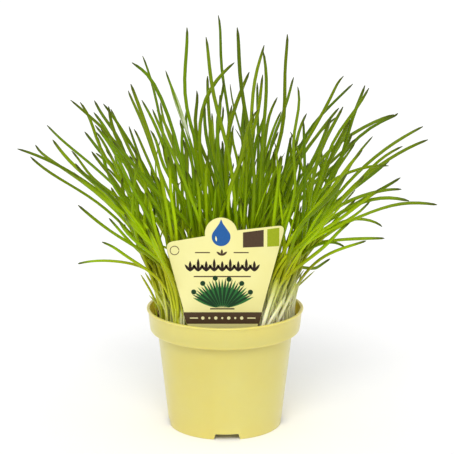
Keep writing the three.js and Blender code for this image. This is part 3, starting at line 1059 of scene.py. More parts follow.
@dataclass(frozen=True)
class ChiveSkin:
    """Living chive leaf: yellow-green or whitish at its foot, then green to its dark tip, with
    painted shade that darkens some leaves.
    """

    white: Colour = srgb(244, 241, 206)
    foot: Colour = srgb(221, 228, 56)
    young: Colour = srgb(174, 178, 22)
    grown: Colour = srgb(174, 206, 4)
    upper: Colour = srgb(136, 160, 5)
    old: Colour = srgb(116, 134, 5)
    cool: Colour = srgb(92, 134, 2)
    # Painted shade: the tone that a leaf's colour is multiplied by, as far as its shade value goes
    deep: Colour = (0.5, 0.53, 0.46, 1.0)
    tip: Colour = srgb(58, 62, 14)

    # The height above the soil that counts as one, and how far up it has its greens
    full_rise: float = 200
    young_at: float = 0.24
    grown_at: float = 0.44
    upper_at: float = 0.68

    # Where cooler leaves turn cool, where white feet fade out, and where tips darken
    cool_over: tuple[float, float] = (0.1, 0.4)
    cool_tints: tuple[float, float] = (0.3, 1)
    cool_share: tuple[float, float] = (0, 0.6)
    white_over: tuple[float, float] = (0.22, 0.04)
    tip_over: tuple[float, float] = (11, 1)
    tip_share: tuple[float, float] = (0, 0.9)

    # The fine ribs along a leaf
    rib_scale: float = 1600
    rib_stretch: tuple[float, float, float] = (1, 1, 0.12)
    roughness: tuple[float, float] = (0.3, 0.45)
    bump: tuple[float, float] = (0.00015, 0.25)

    def material(self) -> bpy.types.Material:
        """Builds the material."""
        shader = Shader("chive_skin")
        rise = shader.spread(shader.attribute("from_root"), 0, self.full_rise)
        stops = (
            (0.0, self.foot), (self.young_at, self.young), (self.grown_at, self.grown),
            (self.upper_at, self.upper), (1.0, self.old),
        )
        body = shader.ramp(rise, stops)
        up_to_cool = shader.spread(rise, *self.cool_over)
        cool = shader.math("MULTIPLY", shader.attribute("tint"), up_to_cool)
        coolness = shader.spread(cool, *self.cool_tints, self.cool_share)
        cooled = shader.mix(coolness, body, self.cool)
        # Painted shade: each leaf or sheath is mixed by its shade value towards its colour times
        # the painted shade tone
        painted_shade_green = shader.mix(1.0, cooled, self.deep, "MULTIPLY")
        green = shader.mix(shader.attribute("shade"), cooled, painted_shade_green)
        low = shader.spread(rise, *self.white_over)
        pale = shader.math("MULTIPLY", shader.attribute("blanch"), low)
        blanched = shader.mix(pale, green, self.white)
        from_tip = shader.attribute("from_tip")
        near_tip = shader.spread(from_tip, *self.tip_over, self.tip_share)
        shader.colour(shader.mix(near_tip, blanched, self.tip))
        ribs = shader.mottle(shader.place(self.rib_stretch), Patches(self.rib_scale))
        shader.roughness(shader.spread(ribs, 0, 1, self.roughness))
        shader.bump(ribs, *self.bump)
        shader.set(Specular_IOR_Level=0.1, Subsurface_Weight=0.25, Subsurface_Scale=0.002)
        shader.set(Subsurface_Radius=(0.7, 1.0, 0.1))
        return shader.material


# The pot


@dataclass
class NurseryPot:
    """The round tapered pot with its deep band, thin lip, foot ring and drainage."""

    sides: int = 128
    height: float = 92.5
    lip_radius: float = 60.0
    band_radius: float = 58.8
    band_foot: float = 75.1
    body_radius: float = 51.7
    foot_radius: float = 43.4
    floor_under: float = 5.5
    floor_top: float = 6.8

    # The gaps in the foot ring
    notches: int = 4
    notch_top: float = 17.2
    notch_foot: float = 20.6
    notch_height: float = 4.6
    notch_turn: float = math.radians(2)
    cut_deep: float = 12.0

    # The drain holes, and the plugs that cut them
    drain_at: float = 30.0
    drain_radius: float = 4.5
    drains: int = 8
    plug_length: float = 6.0
    plug_sides: int = 32

    def rings(self) -> list[Flat]:
        """Returns the wall's rings, from under the floor round the lip to the floor's top."""
        foot, body, band = self.foot_radius, self.body_radius, self.band_radius
        low, top, lip = self.band_foot, self.height, self.lip_radius
        return [
            (foot - 2.6, self.floor_under), (foot - 2.55, 0.6), (foot - 2.1, 0.0),
            (foot - 0.6, 0.0), (foot - 0.15, 0.2), (foot, 0.7),
            (body - 0.15, low - 2.2), (body + 0.15, low - 1.1), (body + 0.8, low - 0.55),
            (band - 3.0, low - 0.35), (band - 2.2, low), (band - 1.7, low + 0.6),
            (band - 1.4, low + 1.6), (band - 1.1, low + 3.5), (band, top - 2.7),
            (band + 0.3, top - 1.9), (lip - 0.4, top - 1.5), (lip - 0.1, top - 1.2),
            (lip, top - 0.75), (lip - 0.2, top - 0.25), (lip - 0.8, top),
            (band - 0.5, top), (band - 1.1, top - 0.3), (band - 1.5, top - 1.0),
            (band - 2.4, low + 2.8), (band - 2.9, low + 1.7), (body - 0.6, low + 1.25),
            (body - 1.3, low + 0.6), (foot - 1.35, self.floor_top + 1.6),
            (foot - 1.9, self.floor_top + 0.4), (foot - 3.0, self.floor_top),
        ]

    def build(self) -> bpy.types.Object:
        """Models the pot and gives it its plastic."""
        shell = walked_shell("pot_shell", self.rings(), self.sides)
        close_up(shell)
        cutters = joined([*self._notches(), *self._drain_plugs()], "pot_cutters")
        apply_modifier(shell, "BOOLEAN", object=cutters, operation="DIFFERENCE", solver="EXACT")
        bpy.data.objects.remove(cutters)
        close_up(shell, smooth_degrees=28)
        return dress(shell, POT_PLASTIC.material(), Slot.POT, "pot")

    def _notches(self) -> list[bpy.types.Object]:
        """Models the four blocks that cut the foot ring's gaps, wider at the surface."""
        blocks = []
        for quarter in range(self.notches):
            deselect_all()
            bpy.ops.mesh.primitive_cube_add(size=1, location=(0, 0, 0))
            block = active("notch")
            edit(block)
            bpy.ops.mesh.select_all(action="SELECT")
            bpy.ops.transform.resize(
                value=(self.notch_top * MM, self.cut_deep * MM, (self.notch_height + 1) * MM),
                center_override=(0, 0, 0),
            )
            bpy.ops.mesh.select_all(action="DESELECT")
            select_verts(block, lambda p: p.z < 0)
            share = self.notch_foot / self.notch_top
            bpy.ops.transform.resize(value=(share, 1, 1), center_override=(0, 0, 0))
            bpy.ops.mesh.select_all(action="SELECT")
            lift = (self.notch_height - 1) / 2
            bpy.ops.transform.translate(value=(0, -self.foot_radius * MM, lift * MM))
            turn = quarter * math.pi / 2 - self.notch_turn
            bpy.ops.transform.rotate(value=turn, orient_axis="Z", center_override=(0, 0, 0))
            bpy.ops.object.mode_set(mode="OBJECT")
            blocks.append(block)
        return blocks

    def _drain_plugs(self) -> list[bpy.types.Object]:
        """Models the round plugs that cut the drain holes in the floor."""
        plugs = []
        for i in range(self.drains):
            deselect_all()
            turn = (i + 0.5) * FULL_TURN / self.drains
            where = (self.drain_at * math.cos(turn) * MM, self.drain_at * math.sin(turn) * MM)
            bpy.ops.mesh.primitive_cylinder_add(
                vertices=self.plug_sides, radius=self.drain_radius * MM,
                depth=self.plug_length * MM,
                location=(*where, self.floor_top * MM),
            )
            plug = active("drain")
            bpy.ops.object.transform_apply(location=True, rotation=True, scale=True)
            plugs.append(plug)
        return plugs


# The peat


@dataclass
class Peat:
    """The peat that fills the pot: its body, loose crumbs and root fibres on top."""

    # Its body, whose top swells and has lumps of two sizes, each with its strength
    top: float = 83.2
    edge: float = 55.9
    swell: float = 1.2
    lump: float = 1.5
    lumps: tuple[Flat, Flat] = ((0.011, 1.3), (0.0032, 0.9))
    rings_on_top: int = 44
    sides: int = 132

    # Crumbs: how far they stay from the edge, and how high they lie for their size
    crumbs: int = 620
    crumb_seed: int = 512
    crumb_margin: float = 1.6
    crumb_rise: float = 0.3
    crumb_sizes: Flat = (0.45, 1.5)
    crumb_squeeze: Flat = (0.7, 1.3)
    crumb_flatness: Flat = (0.5, 0.9)

    # Root fibres: how far they stay from the edge, how high they lie, and how they arch
    fibres: int = 240
    fibre_seed: int = 901
    fibre_margin: float = 7
    fibre_rise: float = 0.5
    fibre_arch: Flat = (1.3, 0.4)
    fibre_sides: int = 5
    fibre_links: int = 7
    fibre_bend: float = 1.2
    fibre_lengths: Flat = (3.0, 10.0)
    fibre_radii: Flat = (0.12, 0.26)

    def build(self) -> list[bpy.types.Object]:
        """Models the peat's pieces and gives them their materials."""
        crumb = PEAT_CRUMB.material()
        root = fibre("root_fibre", srgb(196, 172, 128), srgb(110, 82, 54)).material()
        return [
            dress(self._body(), crumb, Slot.PEAT, "peat"),
            dress(self._crumbs(), crumb, Slot.PEAT),
            dress(self._fibres(), root, Slot.PEAT),
        ]

    def height_at(self, radius: float) -> float:
        """Returns the height of the soil at a distance from the axis, before its lumps."""
        return self.top + self.swell * (1 - radius / self.edge)

    def _body(self) -> bpy.types.Object:
        """Walks the body up the pot's inside, and lifts its top into lumps."""
        wall = [(40.0, 7.3), (41.2, 8.4), (49.9, 76.8), (self.edge - 0.6, 77.8), (self.edge, 79)]
        inwards = [self.edge * (1 - i / self.rings_on_top) for i in range(self.rings_on_top)]
        rings = [*wall, *((r, self.height_at(r)) for r in inwards)]
        body = walked_shell("peat_body", rings, self.sides)
        rough = body.vertex_groups.new(name="top")
        on_top = [v.index for v in body.data.vertices if v.co.z > (self.top - 0.5) * MM]
        rough.add(on_top, 1.0, "REPLACE")
        for size, strength in self.lumps:
            clouds = bpy.data.textures.new("peat_lumps", "CLOUDS")
            clouds.noise_scale = size
            clouds.noise_depth = 2
            apply_modifier(
                body, "DISPLACE", texture=clouds, vertex_group="top", direction="Z",
                strength=strength * self.lump * MM, mid_level=0.5, texture_coords="LOCAL",
            )
        close_up(body, smooth_degrees=60)
        return body

    def _scatter(self, draw: Draw, reach: float) -> tuple[float, float]:
        """Returns a place on the soil, evenly spread out to a reach."""
        radius = reach * math.sqrt(draw())
        turn = FULL_TURN * draw()
        return radius * math.cos(turn), radius * math.sin(turn)

    def _crumbs(self) -> bpy.types.Object:
        """Scatters copies of one crumb over the top, each turned and squeezed its own way."""
        deselect_all()
        bpy.ops.mesh.primitive_ico_sphere_add(subdivisions=2, radius=1)
        master = active("crumb")
        edit(master)
        bpy.ops.mesh.select_all(action="SELECT")
        bpy.ops.transform.vertex_random(offset=0.28, seed=4)
        bpy.ops.object.mode_set(mode="OBJECT")
        verts, faces = taken_mesh(master)
        draw = Draw(self.crumb_seed)
        pile = MeshPile()
        for _ in range(self.crumbs):
            x, y = self._scatter(draw, self.edge - self.crumb_margin)
            least, more = self.crumb_sizes
            size = least + more * draw() ** 3
            squeeze = [
                draw.between(*among)
                for among in (self.crumb_squeeze, self.crumb_squeeze, self.crumb_flatness)
            ]
            turn = np.array(Matrix.Rotation(LOOSE_TURN * draw(), 3, "Z"))
            turned = (verts * size * squeeze) @ turn.T
            up = self.height_at(math.hypot(x, y)) + self.crumb_rise * size
            pile.add(turned + (x, y, up), faces)
        return pile.piece("peat_crumbs")

    def _fibres(self) -> bpy.types.Object:
        """Lays short root fibres over the soil."""
        tube = MasterTube("fibre_master", self.fibre_sides, self.fibre_links)
        draw = Draw(self.fibre_seed)
        pile = MeshPile()
        for _ in range(self.fibres):
            x, y = self._scatter(draw, self.edge - self.fibre_margin)
            turn = LOOSE_TURN * draw()
            bend = draw.between(-self.fibre_bend, self.fibre_bend)
            length = draw.between(*self.fibre_lengths)
            line = []
            for t in np.linspace(0, 1, self.fibre_links + 1):
                way = turn + bend * t
                reach = length * (t - 0.5)
                place = (x + reach * math.cos(way), y + reach * math.sin(way))
                arch, least = self.fibre_arch
                lift = self.fibre_rise + arch * math.sin(math.pi * t) * (least + bend * bend / 2)
                line.append((*place, self.height_at(math.hypot(*place)) + lift))
            radii = np.full(len(line), draw.between(*self.fibre_radii))
            swept = tube.along(np.array(line), radii, 1, 0)
            pile.add(swept.verts, tube.faces)
        return pile.piece("root_fibres")


# The label


def arc(centre: Flat, radius: float, start: float, end: float, count: int) -> list[Flat]:
    """Returns points along an arc.

    Args:
        centre: Its centre.
        radius: Its radius.
        start, end: Its first and last angle, in degrees.
        count: The number of points.

    Returns:
        The points.
    """
    angles = [math.radians(start + (end - start) * i / (count - 1)) for i in range(count)]
    return [(centre[0] + radius * math.cos(a), centre[1] + radius * math.sin(a)) for a in angles]


def rounded(before: Flat, corner: Flat, after: Flat, distance: float, count: int) -> list[Flat]:
    """Returns points along the round of a corner.

    Args:
        before: A point on the side that leads to the corner.
        corner: The corner.
        after: A point on the side that leads away from it.
        distance: How far from the corner its round starts and ends.
        count: The number of links in the round.

    Returns:
        The points.
    """
    at = Vector(corner)
    start = at + (Vector(before) - at).normalized() * distance
    end = at + (Vector(after) - at).normalized() * distance
    points = []
    for i in range(count + 1):
        t = i / count
        place = start * (1 - t) ** 2 + at * (2 * t * (1 - t)) + end * t**2
        points.append((place.x, place.y))
    return points


def side_at(low: Flat, high: Flat, up: float) -> float:
    """Returns how far across the line between two corners is at a height."""
    return low[0] + (high[0] - low[0]) * (up - low[1]) / (high[1] - low[1])


class Ink(Enum):
    """The inks of the label's print."""

    BROWN = ("label_print_brown", (70, 52, 34))
    DARK = ("label_print_dark", (36, 22, 12))
    LIME = ("label_print_lime", (142, 156, 10))
    BLUE = ("label_print_blue", (28, 84, 146))
    LEAF = ("label_print_leaf", (38, 100, 44))
    DEEP = ("label_print_deep", (12, 50, 20))
    CREAM = ("label_print_cream", (228, 222, 166))


class PrintPlate:
    """Flat printed shapes in one ink, a hair's breadth proud of the card."""

    # The steps up each side of a pointed leaf
    links = 6

    def __init__(self, ink: Ink, front: float, thick: float) -> None:
        """Starts an empty plate.

        Args:
            ink: Its ink.
            front: The depth of its front face, in millimetres.
            thick: Its thickness, in millimetres.
        """
        self.ink = ink
        self.front = front
        self.thick = thick
        self.pile = MeshPile()

    def shape(self, outline: Sequence[Flat]) -> None:
        """Adds a closed shape with that outline, anticlockwise seen from the front."""
        count = len(outline)
        front = [(x, self.front, z) for x, z in outline]
        back = [(x, self.front + self.thick, z) for x, z in outline]
        faces: list[tuple[int, ...]] = [tuple(range(count))]
        faces.append(tuple(reversed(range(count, 2 * count))))
        for i in range(count):
            after = (i + 1) % count
            faces.append((after, i, i + count, after + count))
        self.pile.add(np.array(front + back, dtype=float), faces)

    def strip(self, start: Flat, end: Flat, wide: float) -> None:
        """Adds a straight strip from start to end."""
        run = Vector((end[0] - start[0], end[1] - start[1])).normalized()
        x, z = -run.y * wide / 2, run.x * wide / 2
        self.shape(
            [
                (start[0] - x, start[1] - z), (end[0] - x, end[1] - z),
                (end[0] + x, end[1] + z), (start[0] + x, start[1] + z),
            ]
        )

    def leaf(self, root: Flat, length: float, wide: float, lean: float) -> None:
        """Adds a pointed leaf that stands on its root and leans by some degrees."""
        turn = math.radians(lean)
        outline = []
        for side in (1, -1):
            for i in range(self.links + 1):
                t = i / self.links if side == 1 else 1 - i / self.links
                if side == -1 and i in (0, self.links):
                    continue
                out = side * wide / 2 * math.sin(math.pi * t) ** BELLY
                up = length * t
                x = root[0] + up * math.sin(turn) + out * math.cos(turn)
                z = root[1] + up * math.cos(turn) - out * math.sin(turn)
                outline.append((x, z))
        self.shape(outline)

    def disc(self, centre: Flat, radius: float, count: int = 20) -> None:
        """Adds a round dot."""
        self.shape(arc(centre, radius, 0, 360 * (1 - 1 / count), count))

    def piece(self) -> bpy.types.Object:
        """Makes the plate's piece."""
        name, colour = self.ink.value
        made = self.pile.piece(name)
        for face in made.data.polygons:
            face.use_smooth = False
        close_up(made, smooth_degrees=20)
        return dress(made, printed_ink(f"{name}_ink", srgb(*colour)).material(), Slot.LABEL)


@dataclass(frozen=True)
class PrintLayout:
    """Where the print's shapes lie on the card, in millimetres across and up."""

    # Two tabs, and a band with dots between two dashes
    brown_tab: tuple[Flat, ...] = ((13.2, 149.6), (28.4, 150.2), (28.4, 163.0), (13.2, 161.0))
    lime_tab: tuple[Flat, ...] = ((31.0, 150.2), (39.8, 150.7), (39.8, 164.6), (31.0, 163.4))
    band_inset: float = 0.15
    dots: int = 7
    first_dot: float = -16.4
    dot_step: float = 4.8
    dot_radii: Flat = (1.25, 0.8)
    dot_sides: int = 14
    dashes: Flat = (-26.0, 16.6)
    dash_length: float = 6.0

    # A row of sprouts, each a bud between two leaves
    sprouts: int = 9
    first_sprout: float = -25.6
    sprout_step: float = 5.9
    bud_foot: float = 131.8
    bud_lengths: Flat = (7.8, 9.6)
    bud_wide: float = 2.2
    side_leaf_foot: float = 131.4
    side_leaf: Flat = (6.8, 2.0)
    side_leaf_lean: float = 36.0

    # Thin rules, a sprig between the short ones, and a ring
    short_rules: tuple[Flat, Flat] = ((-22.0, -11.0), (6.4, 17.4))
    short_rule_up: float = 145.8
    long_rule: Flat = (-23.0, 19.0)
    long_rule_up: float = 127.6
    rule_wide: float = 0.8
    long_rule_wide: float = 0.9
    sprig: Flat = (-2.3, 143.4)
    sprig_leaf: Flat = (5.0, 1.8)
    sprig_lean: float = 52.0
    ring: Flat = (-37.0, 147.4)
    ring_radii: Flat = (3.5, 2.95)
    ring_end: float = 352.0
    ring_links: int = 40

    # A water drop on the round tab, with a glint
    drop_below: float = 2.6
    drop_arc: tuple[float, float, int] = (150, 390, 26)
    drop_radius: float = 6.9
    drop_neck: Flat = (1.4, 1.45)
    drop_peak: float = 1.95
    glint: Flat = (-3.4, -3.4)
    glint_leaf: Flat = (4.2, 1.2)
    glint_lean: float = -8.0

    # A growing clump
    clump: Flat = (-2.0, 103.8)
    clump_seed: int = 33
    blade_shorter: float = 0.04
    blade_stray: float = 2.0
    blade_spread: float = 0.07
    head_every: int = 4
    blades: int = 25
    blade_lean: float = 66.0
    blade_length: float = 21.5
    blade_widths: Flat = (2.4, 1.9)
    head_radius: float = 1.9
    ground_half: float = 9.0
    ground_under: float = 0.9
    ground_wide: float = 1.0


@dataclass
class PlantLabel:
    """The die-cut card on a stake, with a plain garden print of its own."""

    depth: float = -43.0
    thick: float = 0.7
    tab: Flat = (-2.8, 160.2)
    tab_radius: float = 11.9
    tab_right_up: float = 2.3
    tab_left_down: float = 2.0
    foot_right: Flat = (23.2, 86.0)
    top_right: Flat = (44.4, 166.5)
    top_left: Flat = (-43.9, 153.2)
    foot_left: Flat = (-26.5, 86.0)
    band_low: float = 91.2
    band_high: float = 100.4
    band_out: float = 0.9
    stake_x: float = -2.0
    stake_half: float = 7.0
    stake_tip_half: float = 4.9
    shoulder: float = 86.0
    taper: float = 14.0
    point: float = 46.0
    ink_thick: float = 0.12
    ink_sunk: float = 0.05
    bevel: float = 0.12

    # How far each corner is rounded, and in how many steps
    stake_round: tuple[float, int] = (5, 5)
    foot_round: tuple[float, int] = (3, 5)
    top_round: tuple[float, int] = (6, 9)
    tab_steps: int = 36

    layout: PrintLayout = PrintLayout()

    def right_at(self, up: float) -> float:
        """Returns where the card's right side is at a height."""
        return side_at(self.foot_right, self.top_right, up)

    def left_at(self, up: float) -> float:
        """Returns where the card's left side is at a height."""
        return side_at(self.foot_left, self.top_left, up)

    def outline(self) -> list[Flat]:
        """Returns the card's outline, anticlockwise seen from the front."""
        x, half, point, radius = self.stake_x, self.stake_half, self.point, self.tab_radius
        low, high, out = self.band_low, self.band_high, self.band_out
        stake_right, stake_left = (x + half, self.shoulder), (x - half, self.shoulder)
        rise, drop = self.tab_right_up, self.tab_left_down
        tab_right = (self.tab[0] + math.sqrt(radius**2 - rise**2), self.tab[1] + rise)
        tab_left = (self.tab[0] - math.sqrt(radius**2 - drop**2), self.tab[1] - drop)
        start = math.degrees(math.asin(rise / radius))
        end = 180 + math.degrees(math.asin(drop / radius))
        right, left = self.right_at, self.left_at
        return [
            (x, point), (x + self.stake_tip_half, point + self.taper),
            *rounded((x + half, point), stake_right, self.foot_right, *self.stake_round),
            *rounded(stake_right, self.foot_right, self.top_right, *self.foot_round),
            (right(low), low), (right(low) + out, low), (right(high) + out, high),
            (right(high), high),
            *rounded(self.foot_right, self.top_right, tab_right, *self.top_round),
            *arc(self.tab, radius, start, end, self.tab_steps),
            *rounded(tab_left, self.top_left, self.foot_left, *self.top_round),
            (left(high), high), (left(high) - out, high), (left(low) - out, low),
            (left(low), low),
            *rounded(self.top_left, self.foot_left, stake_left, *self.foot_round),
            *rounded(self.foot_left, stake_left, (x - half, point), *self.stake_round),
            (x - self.stake_tip_half, point + self.taper),
        ]

    def build(self) -> list[bpy.types.Object]:
        """Models the card and its print."""
        pile = MeshPile()
        outline = self.outline()
        front = [(x, self.depth - self.thick / 2, z) for x, z in outline]
        pile.add(np.array(front, dtype=float), [tuple(range(len(front)))])
        card = pile.piece("label_sheet")
        apply_modifier(card, "SOLIDIFY", thickness=self.thick * MM, offset=-1)
        apply_modifier(card, "BEVEL", width=self.bevel * MM, segments=2, limit_method="ANGLE")
        close_up(card, smooth_degrees=30)
        return [dress(card, LABEL_CARD.material(), Slot.LABEL, "plant_label"), *self._print()]

    def _plate(self, ink: Ink, layer: int = 1) -> PrintPlate:
        """Returns an empty plate that lies on the card, or on the layer below it."""
        front = self.depth - self.thick / 2 - self.ink_thick * 0.5 * layer
        return PrintPlate(ink, front, self.ink_thick * 0.5 * layer + self.ink_sunk)

    def _print(self) -> list[bpy.types.Object]:
        """Lays out the print: a band, two tabs, a drop, a row of sprouts and a growing clump."""
        brown, dark = self._plate(Ink.BROWN), self._plate(Ink.DARK)
        lime, blue = self._plate(Ink.LIME), self._plate(Ink.BLUE)
        leaf, deep = self._plate(Ink.LEAF), self._plate(Ink.DEEP, 2)
        cream = self._plate(Ink.CREAM, 2)
        self._band(brown, cream)
        self._tabs(lime, brown)
        self._drop(blue, cream)
        self._sprout_row(dark)
        self._rules(brown)
        self._clump(leaf, deep, brown)
        return [plate.piece() for plate in (brown, dark, lime, blue, leaf, deep, cream)]

    def _band(self, brown: PrintPlate, cream: PrintPlate) -> None:
        """Adds the band along the card's foot, with dots between two dashes."""
        layout = self.layout
        inset = layout.band_inset
        low, high, out = self.band_low + inset, self.band_high - inset, self.band_out - inset
        brown.shape(
            [
                (self.left_at(low) - out, low), (self.right_at(low) + out, low),
                (self.right_at(high) + out, high), (self.left_at(high) - out, high),
            ]
        )
        middle = (low + high) / 2
        for i in range(layout.dots):
            centre = (layout.first_dot + layout.dot_step * i, middle)
            cream.disc(centre, layout.dot_radii[i % 2], layout.dot_sides)
        for start in layout.dashes:
            cream.strip((start, middle), (start + layout.dash_length, middle), layout.rule_wide)

    def _tabs(self, lime: PrintPlate, brown: PrintPlate) -> None:
        """Adds the two small tabs that hang from the card's top edge."""
        brown.shape(self.layout.brown_tab)
        lime.shape(self.layout.lime_tab)

    def _sprout_row(self, dark: PrintPlate) -> None:
        """Adds a row of small sprouts, each a bud between two leaves."""
        layout = self.layout
        for i in range(layout.sprouts):
            x = layout.first_sprout + layout.sprout_step * i
            dark.leaf((x, layout.bud_foot), layout.bud_lengths[i % 2], layout.bud_wide, 0)
            for side in (-1, 1):
                lean = side * layout.side_leaf_lean
                dark.leaf((x, layout.side_leaf_foot), *layout.side_leaf, lean)

    def _rules(self, brown: PrintPlate) -> None:
        """Adds the thin rules round the sprouts, a sprig and a ring near the corner."""
        layout = self.layout
        up, long_up = layout.short_rule_up, layout.long_rule_up
        for start, end in layout.short_rules:
            brown.strip((start, up), (end, up), layout.rule_wide)
        for side in (-1, 0, 1):
            brown.leaf(layout.sprig, *layout.sprig_leaf, side * layout.sprig_lean)
        start, end = layout.long_rule
        brown.strip((start, long_up), (end, long_up), layout.long_rule_wide)
        outer, inner = layout.ring_radii
        ring = arc(layout.ring, outer, 0, layout.ring_end, layout.ring_links)
        hole = arc(layout.ring, inner, layout.ring_end, 0, layout.ring_links)
        brown.shape([*ring, *hole])

    def _drop(self, blue: PrintPlate, cream: PrintPlate) -> None:
        """Adds a water drop to the round tab, a round foot drawn up to a point, and its glint."""
        layout = self.layout
        x, z, radius = self.tab[0], self.tab[1] - layout.drop_below, layout.drop_radius
        foot = arc((x, z), radius, *layout.drop_arc)
        neck, neck_up = layout.drop_neck[0], z + radius * layout.drop_neck[1]
        peak = [(x + neck, neck_up), (x, z + radius * layout.drop_peak), (x - neck, neck_up)]
        blue.shape([*foot, *peak])
        glint = (x + layout.glint[0], z + layout.glint[1])
        cream.leaf(glint, *layout.glint_leaf, layout.glint_lean)

    def _clump(self, leaf: PrintPlate, deep: PrintPlate, brown: PrintPlate) -> None:
        """Adds a clump of growing chives: a fan of blades, some of them with round heads."""
        layout = self.layout
        middle, ground = layout.clump
        draw = Draw(layout.clump_seed)
        for i in range(layout.blades):
            lean = layout.blade_lean * (2 * i / (layout.blades - 1) - 1)
            length = layout.blade_length - abs(lean) * layout.blade_shorter
            length += layout.blade_stray * draw()
            plate = deep if i % 2 else leaf
            start = (middle + lean * layout.blade_spread, ground)
            plate.leaf(start, length, layout.blade_widths[i % 2], lean)
            if i % layout.head_every == 2:
                turn = math.radians(lean)
                head = (start[0] + length * math.sin(turn), start[1] + length * math.cos(turn))
                deep.disc(head, layout.head_radius)
        half, under = layout.ground_half, ground - layout.ground_under
        brown.strip((middle - half, under), (middle + half, under), layout.ground_wide)


# The chives


@dataclass
class ChiveTufts:
    """The tufts of chives: sheaths with a bulb at the foot, round leaves and dry husks."""

    sizes: GrowthSizes = GrowthSizes()

    # A leaf's tube: its rings close up towards its tip, and it is thinner at both ends
    rings: int = 16
    sides: int = 6
    closing: float = 1.4
    foot_thinner: float = 0.26
    foot_run: float = 25.0
    tip_share: float = 0.55
    full_from_tip: float = 9.0
    sway: float = 3.2
    waves: Flat = (0.8, 2.0)
    flatness: Flat = (0.82, 1.0)
    twist: float = 2.0
    bend_links: int = 4
    bend_rounds: int = 3
    fullness: float = 1.06
    blunt: float = 0.4
    # Painted shade of a leaf: a random number raised to this power
    shade_power: float = 1.5
    tuft_seed: int = 100

    # A sheath's tube, its bulb, its radii where it closes, and the most painted shade that it gets
    sheath_sides: int = 10
    sheath_rings: int = 12
    sheath_past_collar: float = 3.0
    sheath_radius: float = 1.3
    sheath_foot_more: float = 0.25
    sheath_flatness: float = 0.94
    sheath_twist: float = 0.4
    sheath_tint: float = 0.3
    sheath_shade: float = 0.5
    bulb: float = 0.6
    bulb_share: Flat = (0.2, 1.0)
    bulb_at: float = 0.12
    bulb_width: float = 0.14
    collar_radii: Point = (1.25, 1.15, 0.9)

    # How white feet are, more so to the right and less so behind, and the back right side, whose
    # leaves always get some painted shade
    blanch_middle: float = 0.34
    blanch_rightwards: float = 0.013
    blanch_backwards: float = 0.012
    blanch_front: float = -30.0
    blanch_stray: Flat = (-0.3, 0.35)
    shaded_side: Flat = (15.0, -25.0)
    shaded_side_least: float = 0.45

    # Leaves that rise from the soil, fewer on the open side, some of them thin and straying
    soil_leaves: int = 9
    soil_leaves_open: int = 4
    open_side: float = -15.0
    low_tip: float = 190.0
    tips_share: Flat = (0.1, 0.9)
    shortened: Flat = (0.45, 0.98)
    beside_foot: Flat = (2.2, 5.5)
    gathered: Flat = (0.55, 1.02)
    fall_stray: float = 9.0
    rise_share: float = 0.4
    rise_stray: Flat = (-7.0, 5.0)
    stray: float = 14.0
    thick: Flat = (0.8, 1.35)
    thin: Flat = (0.5, 0.75)
    thin_share: float = 0.3
    thin_reach: float = 70.0
    thin_stray: float = 44.0
    points_checked: int = 8

    # Stubs at both sides, and those seen at the front right: foot x and y, tip x and z, radius
    stubs: int = 130
    stub_seed: int = 4711
    stub_turns: tuple[Flat, Flat] = ((math.pi - 0.6, math.pi + 1.0), (-1.0, 0.6))
    stub_reach: Flat = (43.0, 53.6)
    stub_upright: float = 16.0
    stub_outward: float = 0.005
    stub_lengths: Flat = (17.0, 48.0)
    stub_leans: Flat = (0.05, 0.85)
    stub_radii: Flat = (0.8, 1.15)
    stub_blanch: Point = (0.5, 0.008, -0.012)
    stub_blanch_stray: Flat = (-0.5, 0.1)
    label_reach: float = 40.0
    seen_stubs: tuple[tuple[float, ...], ...] = (
        (30.5, -43.0, 42.4, 109.7, 1.5),
        (33.0, -39.0, 45.0, 112.5, 1.4),
        (27.0, -44.8, 38.6, 126.0, 1.7),
        (38.0, -35.0, 53.0, 121.0, 1.4),
    )
    seen_upright: float = 12.0
    seen_bend_at: float = 0.6

    # The split leaf, whose tip is given across and up, and the husks
    papery_tip: Flat = (-44.0, 274.0)
    papery_from: float = 0.7
    papery_length: float = 0.25
    papery_sides: int = 10
    papery_rings: int = 16
    papery_radii: Flat = (0.6, 2.1)
    papery_flatness: float = 0.45
    papery_twist: float = 0.4
    husk_seed: int = 615
    husk_share: float = 0.55
    husk_lengths: Flat = (9.0, 20.0)
    husk_curls: Flat = (1.5, 5.0)
    husk_sides: int = 6
    husk_links: int = 8
    husk_foot: Flat = (1.5, 1.6)
    husk_radius: float = 0.75
    husk_narrowing: float = 0.75
    husk_flatness: float = 0.35

    def build(self) -> list[bpy.types.Object]:
        """Grows the chives and models each tuft."""
        growth = ChiveGrowth(self.sizes)
        plantlets = growth.grow()
        grown = sum(len(p.leaves) for p in plantlets)
        LOG.info("grown: %d leaves on %d plantlets", grown, len(plantlets))
        skin = ChiveSkin().material()
        husk = fibre("dry_husk", srgb(226, 208, 164), srgb(164, 128, 84)).material()
        tube = MasterTube("leaf_master", self.sides, self.rings)
        sheath = MasterTube("sheath_master", self.sheath_sides, self.sheath_rings)
        pieces = []
        for tuft in range(len(growth.tufts)):
            own = [p for p in plantlets if p.tuft == tuft]
            draw = Draw(self.tuft_seed + tuft)
            pile = MeshPile()
            for plantlet in own:
                blanch = self._blanch(plantlet, draw)
                self._add_sheath(pile, sheath, plantlet, blanch, draw)
                for leaf in plantlet.leaves:
                    self._add_leaf(pile, tube, self._line(growth, leaf, draw), leaf, blanch, draw)
            for plantlet, leaf in self._rising_from_soil(growth, own, draw):
                blanch = self._blanch(plantlet, draw)
                self._add_leaf(pile, tube, self._line(growth, leaf, draw), leaf, blanch, draw)
            name = f"chive_tuft_{tuft + 1:02d}"
            piece = pile.piece(f"{name}_leaves")
            pieces.append(dress(piece, skin, Slot.LEAF, name))
        pieces.append(dress(self._stubs(growth, tube), skin, Slot.LEAF))
        papery = fibre("papery_leaf", srgb(214, 220, 186), srgb(168, 184, 120)).material()
        pieces.append(dress(self._papery_leaf(growth), papery, Slot.LEAF))
        pieces.append(dress(self._husks(plantlets), husk, Slot.LEAF))
        return pieces

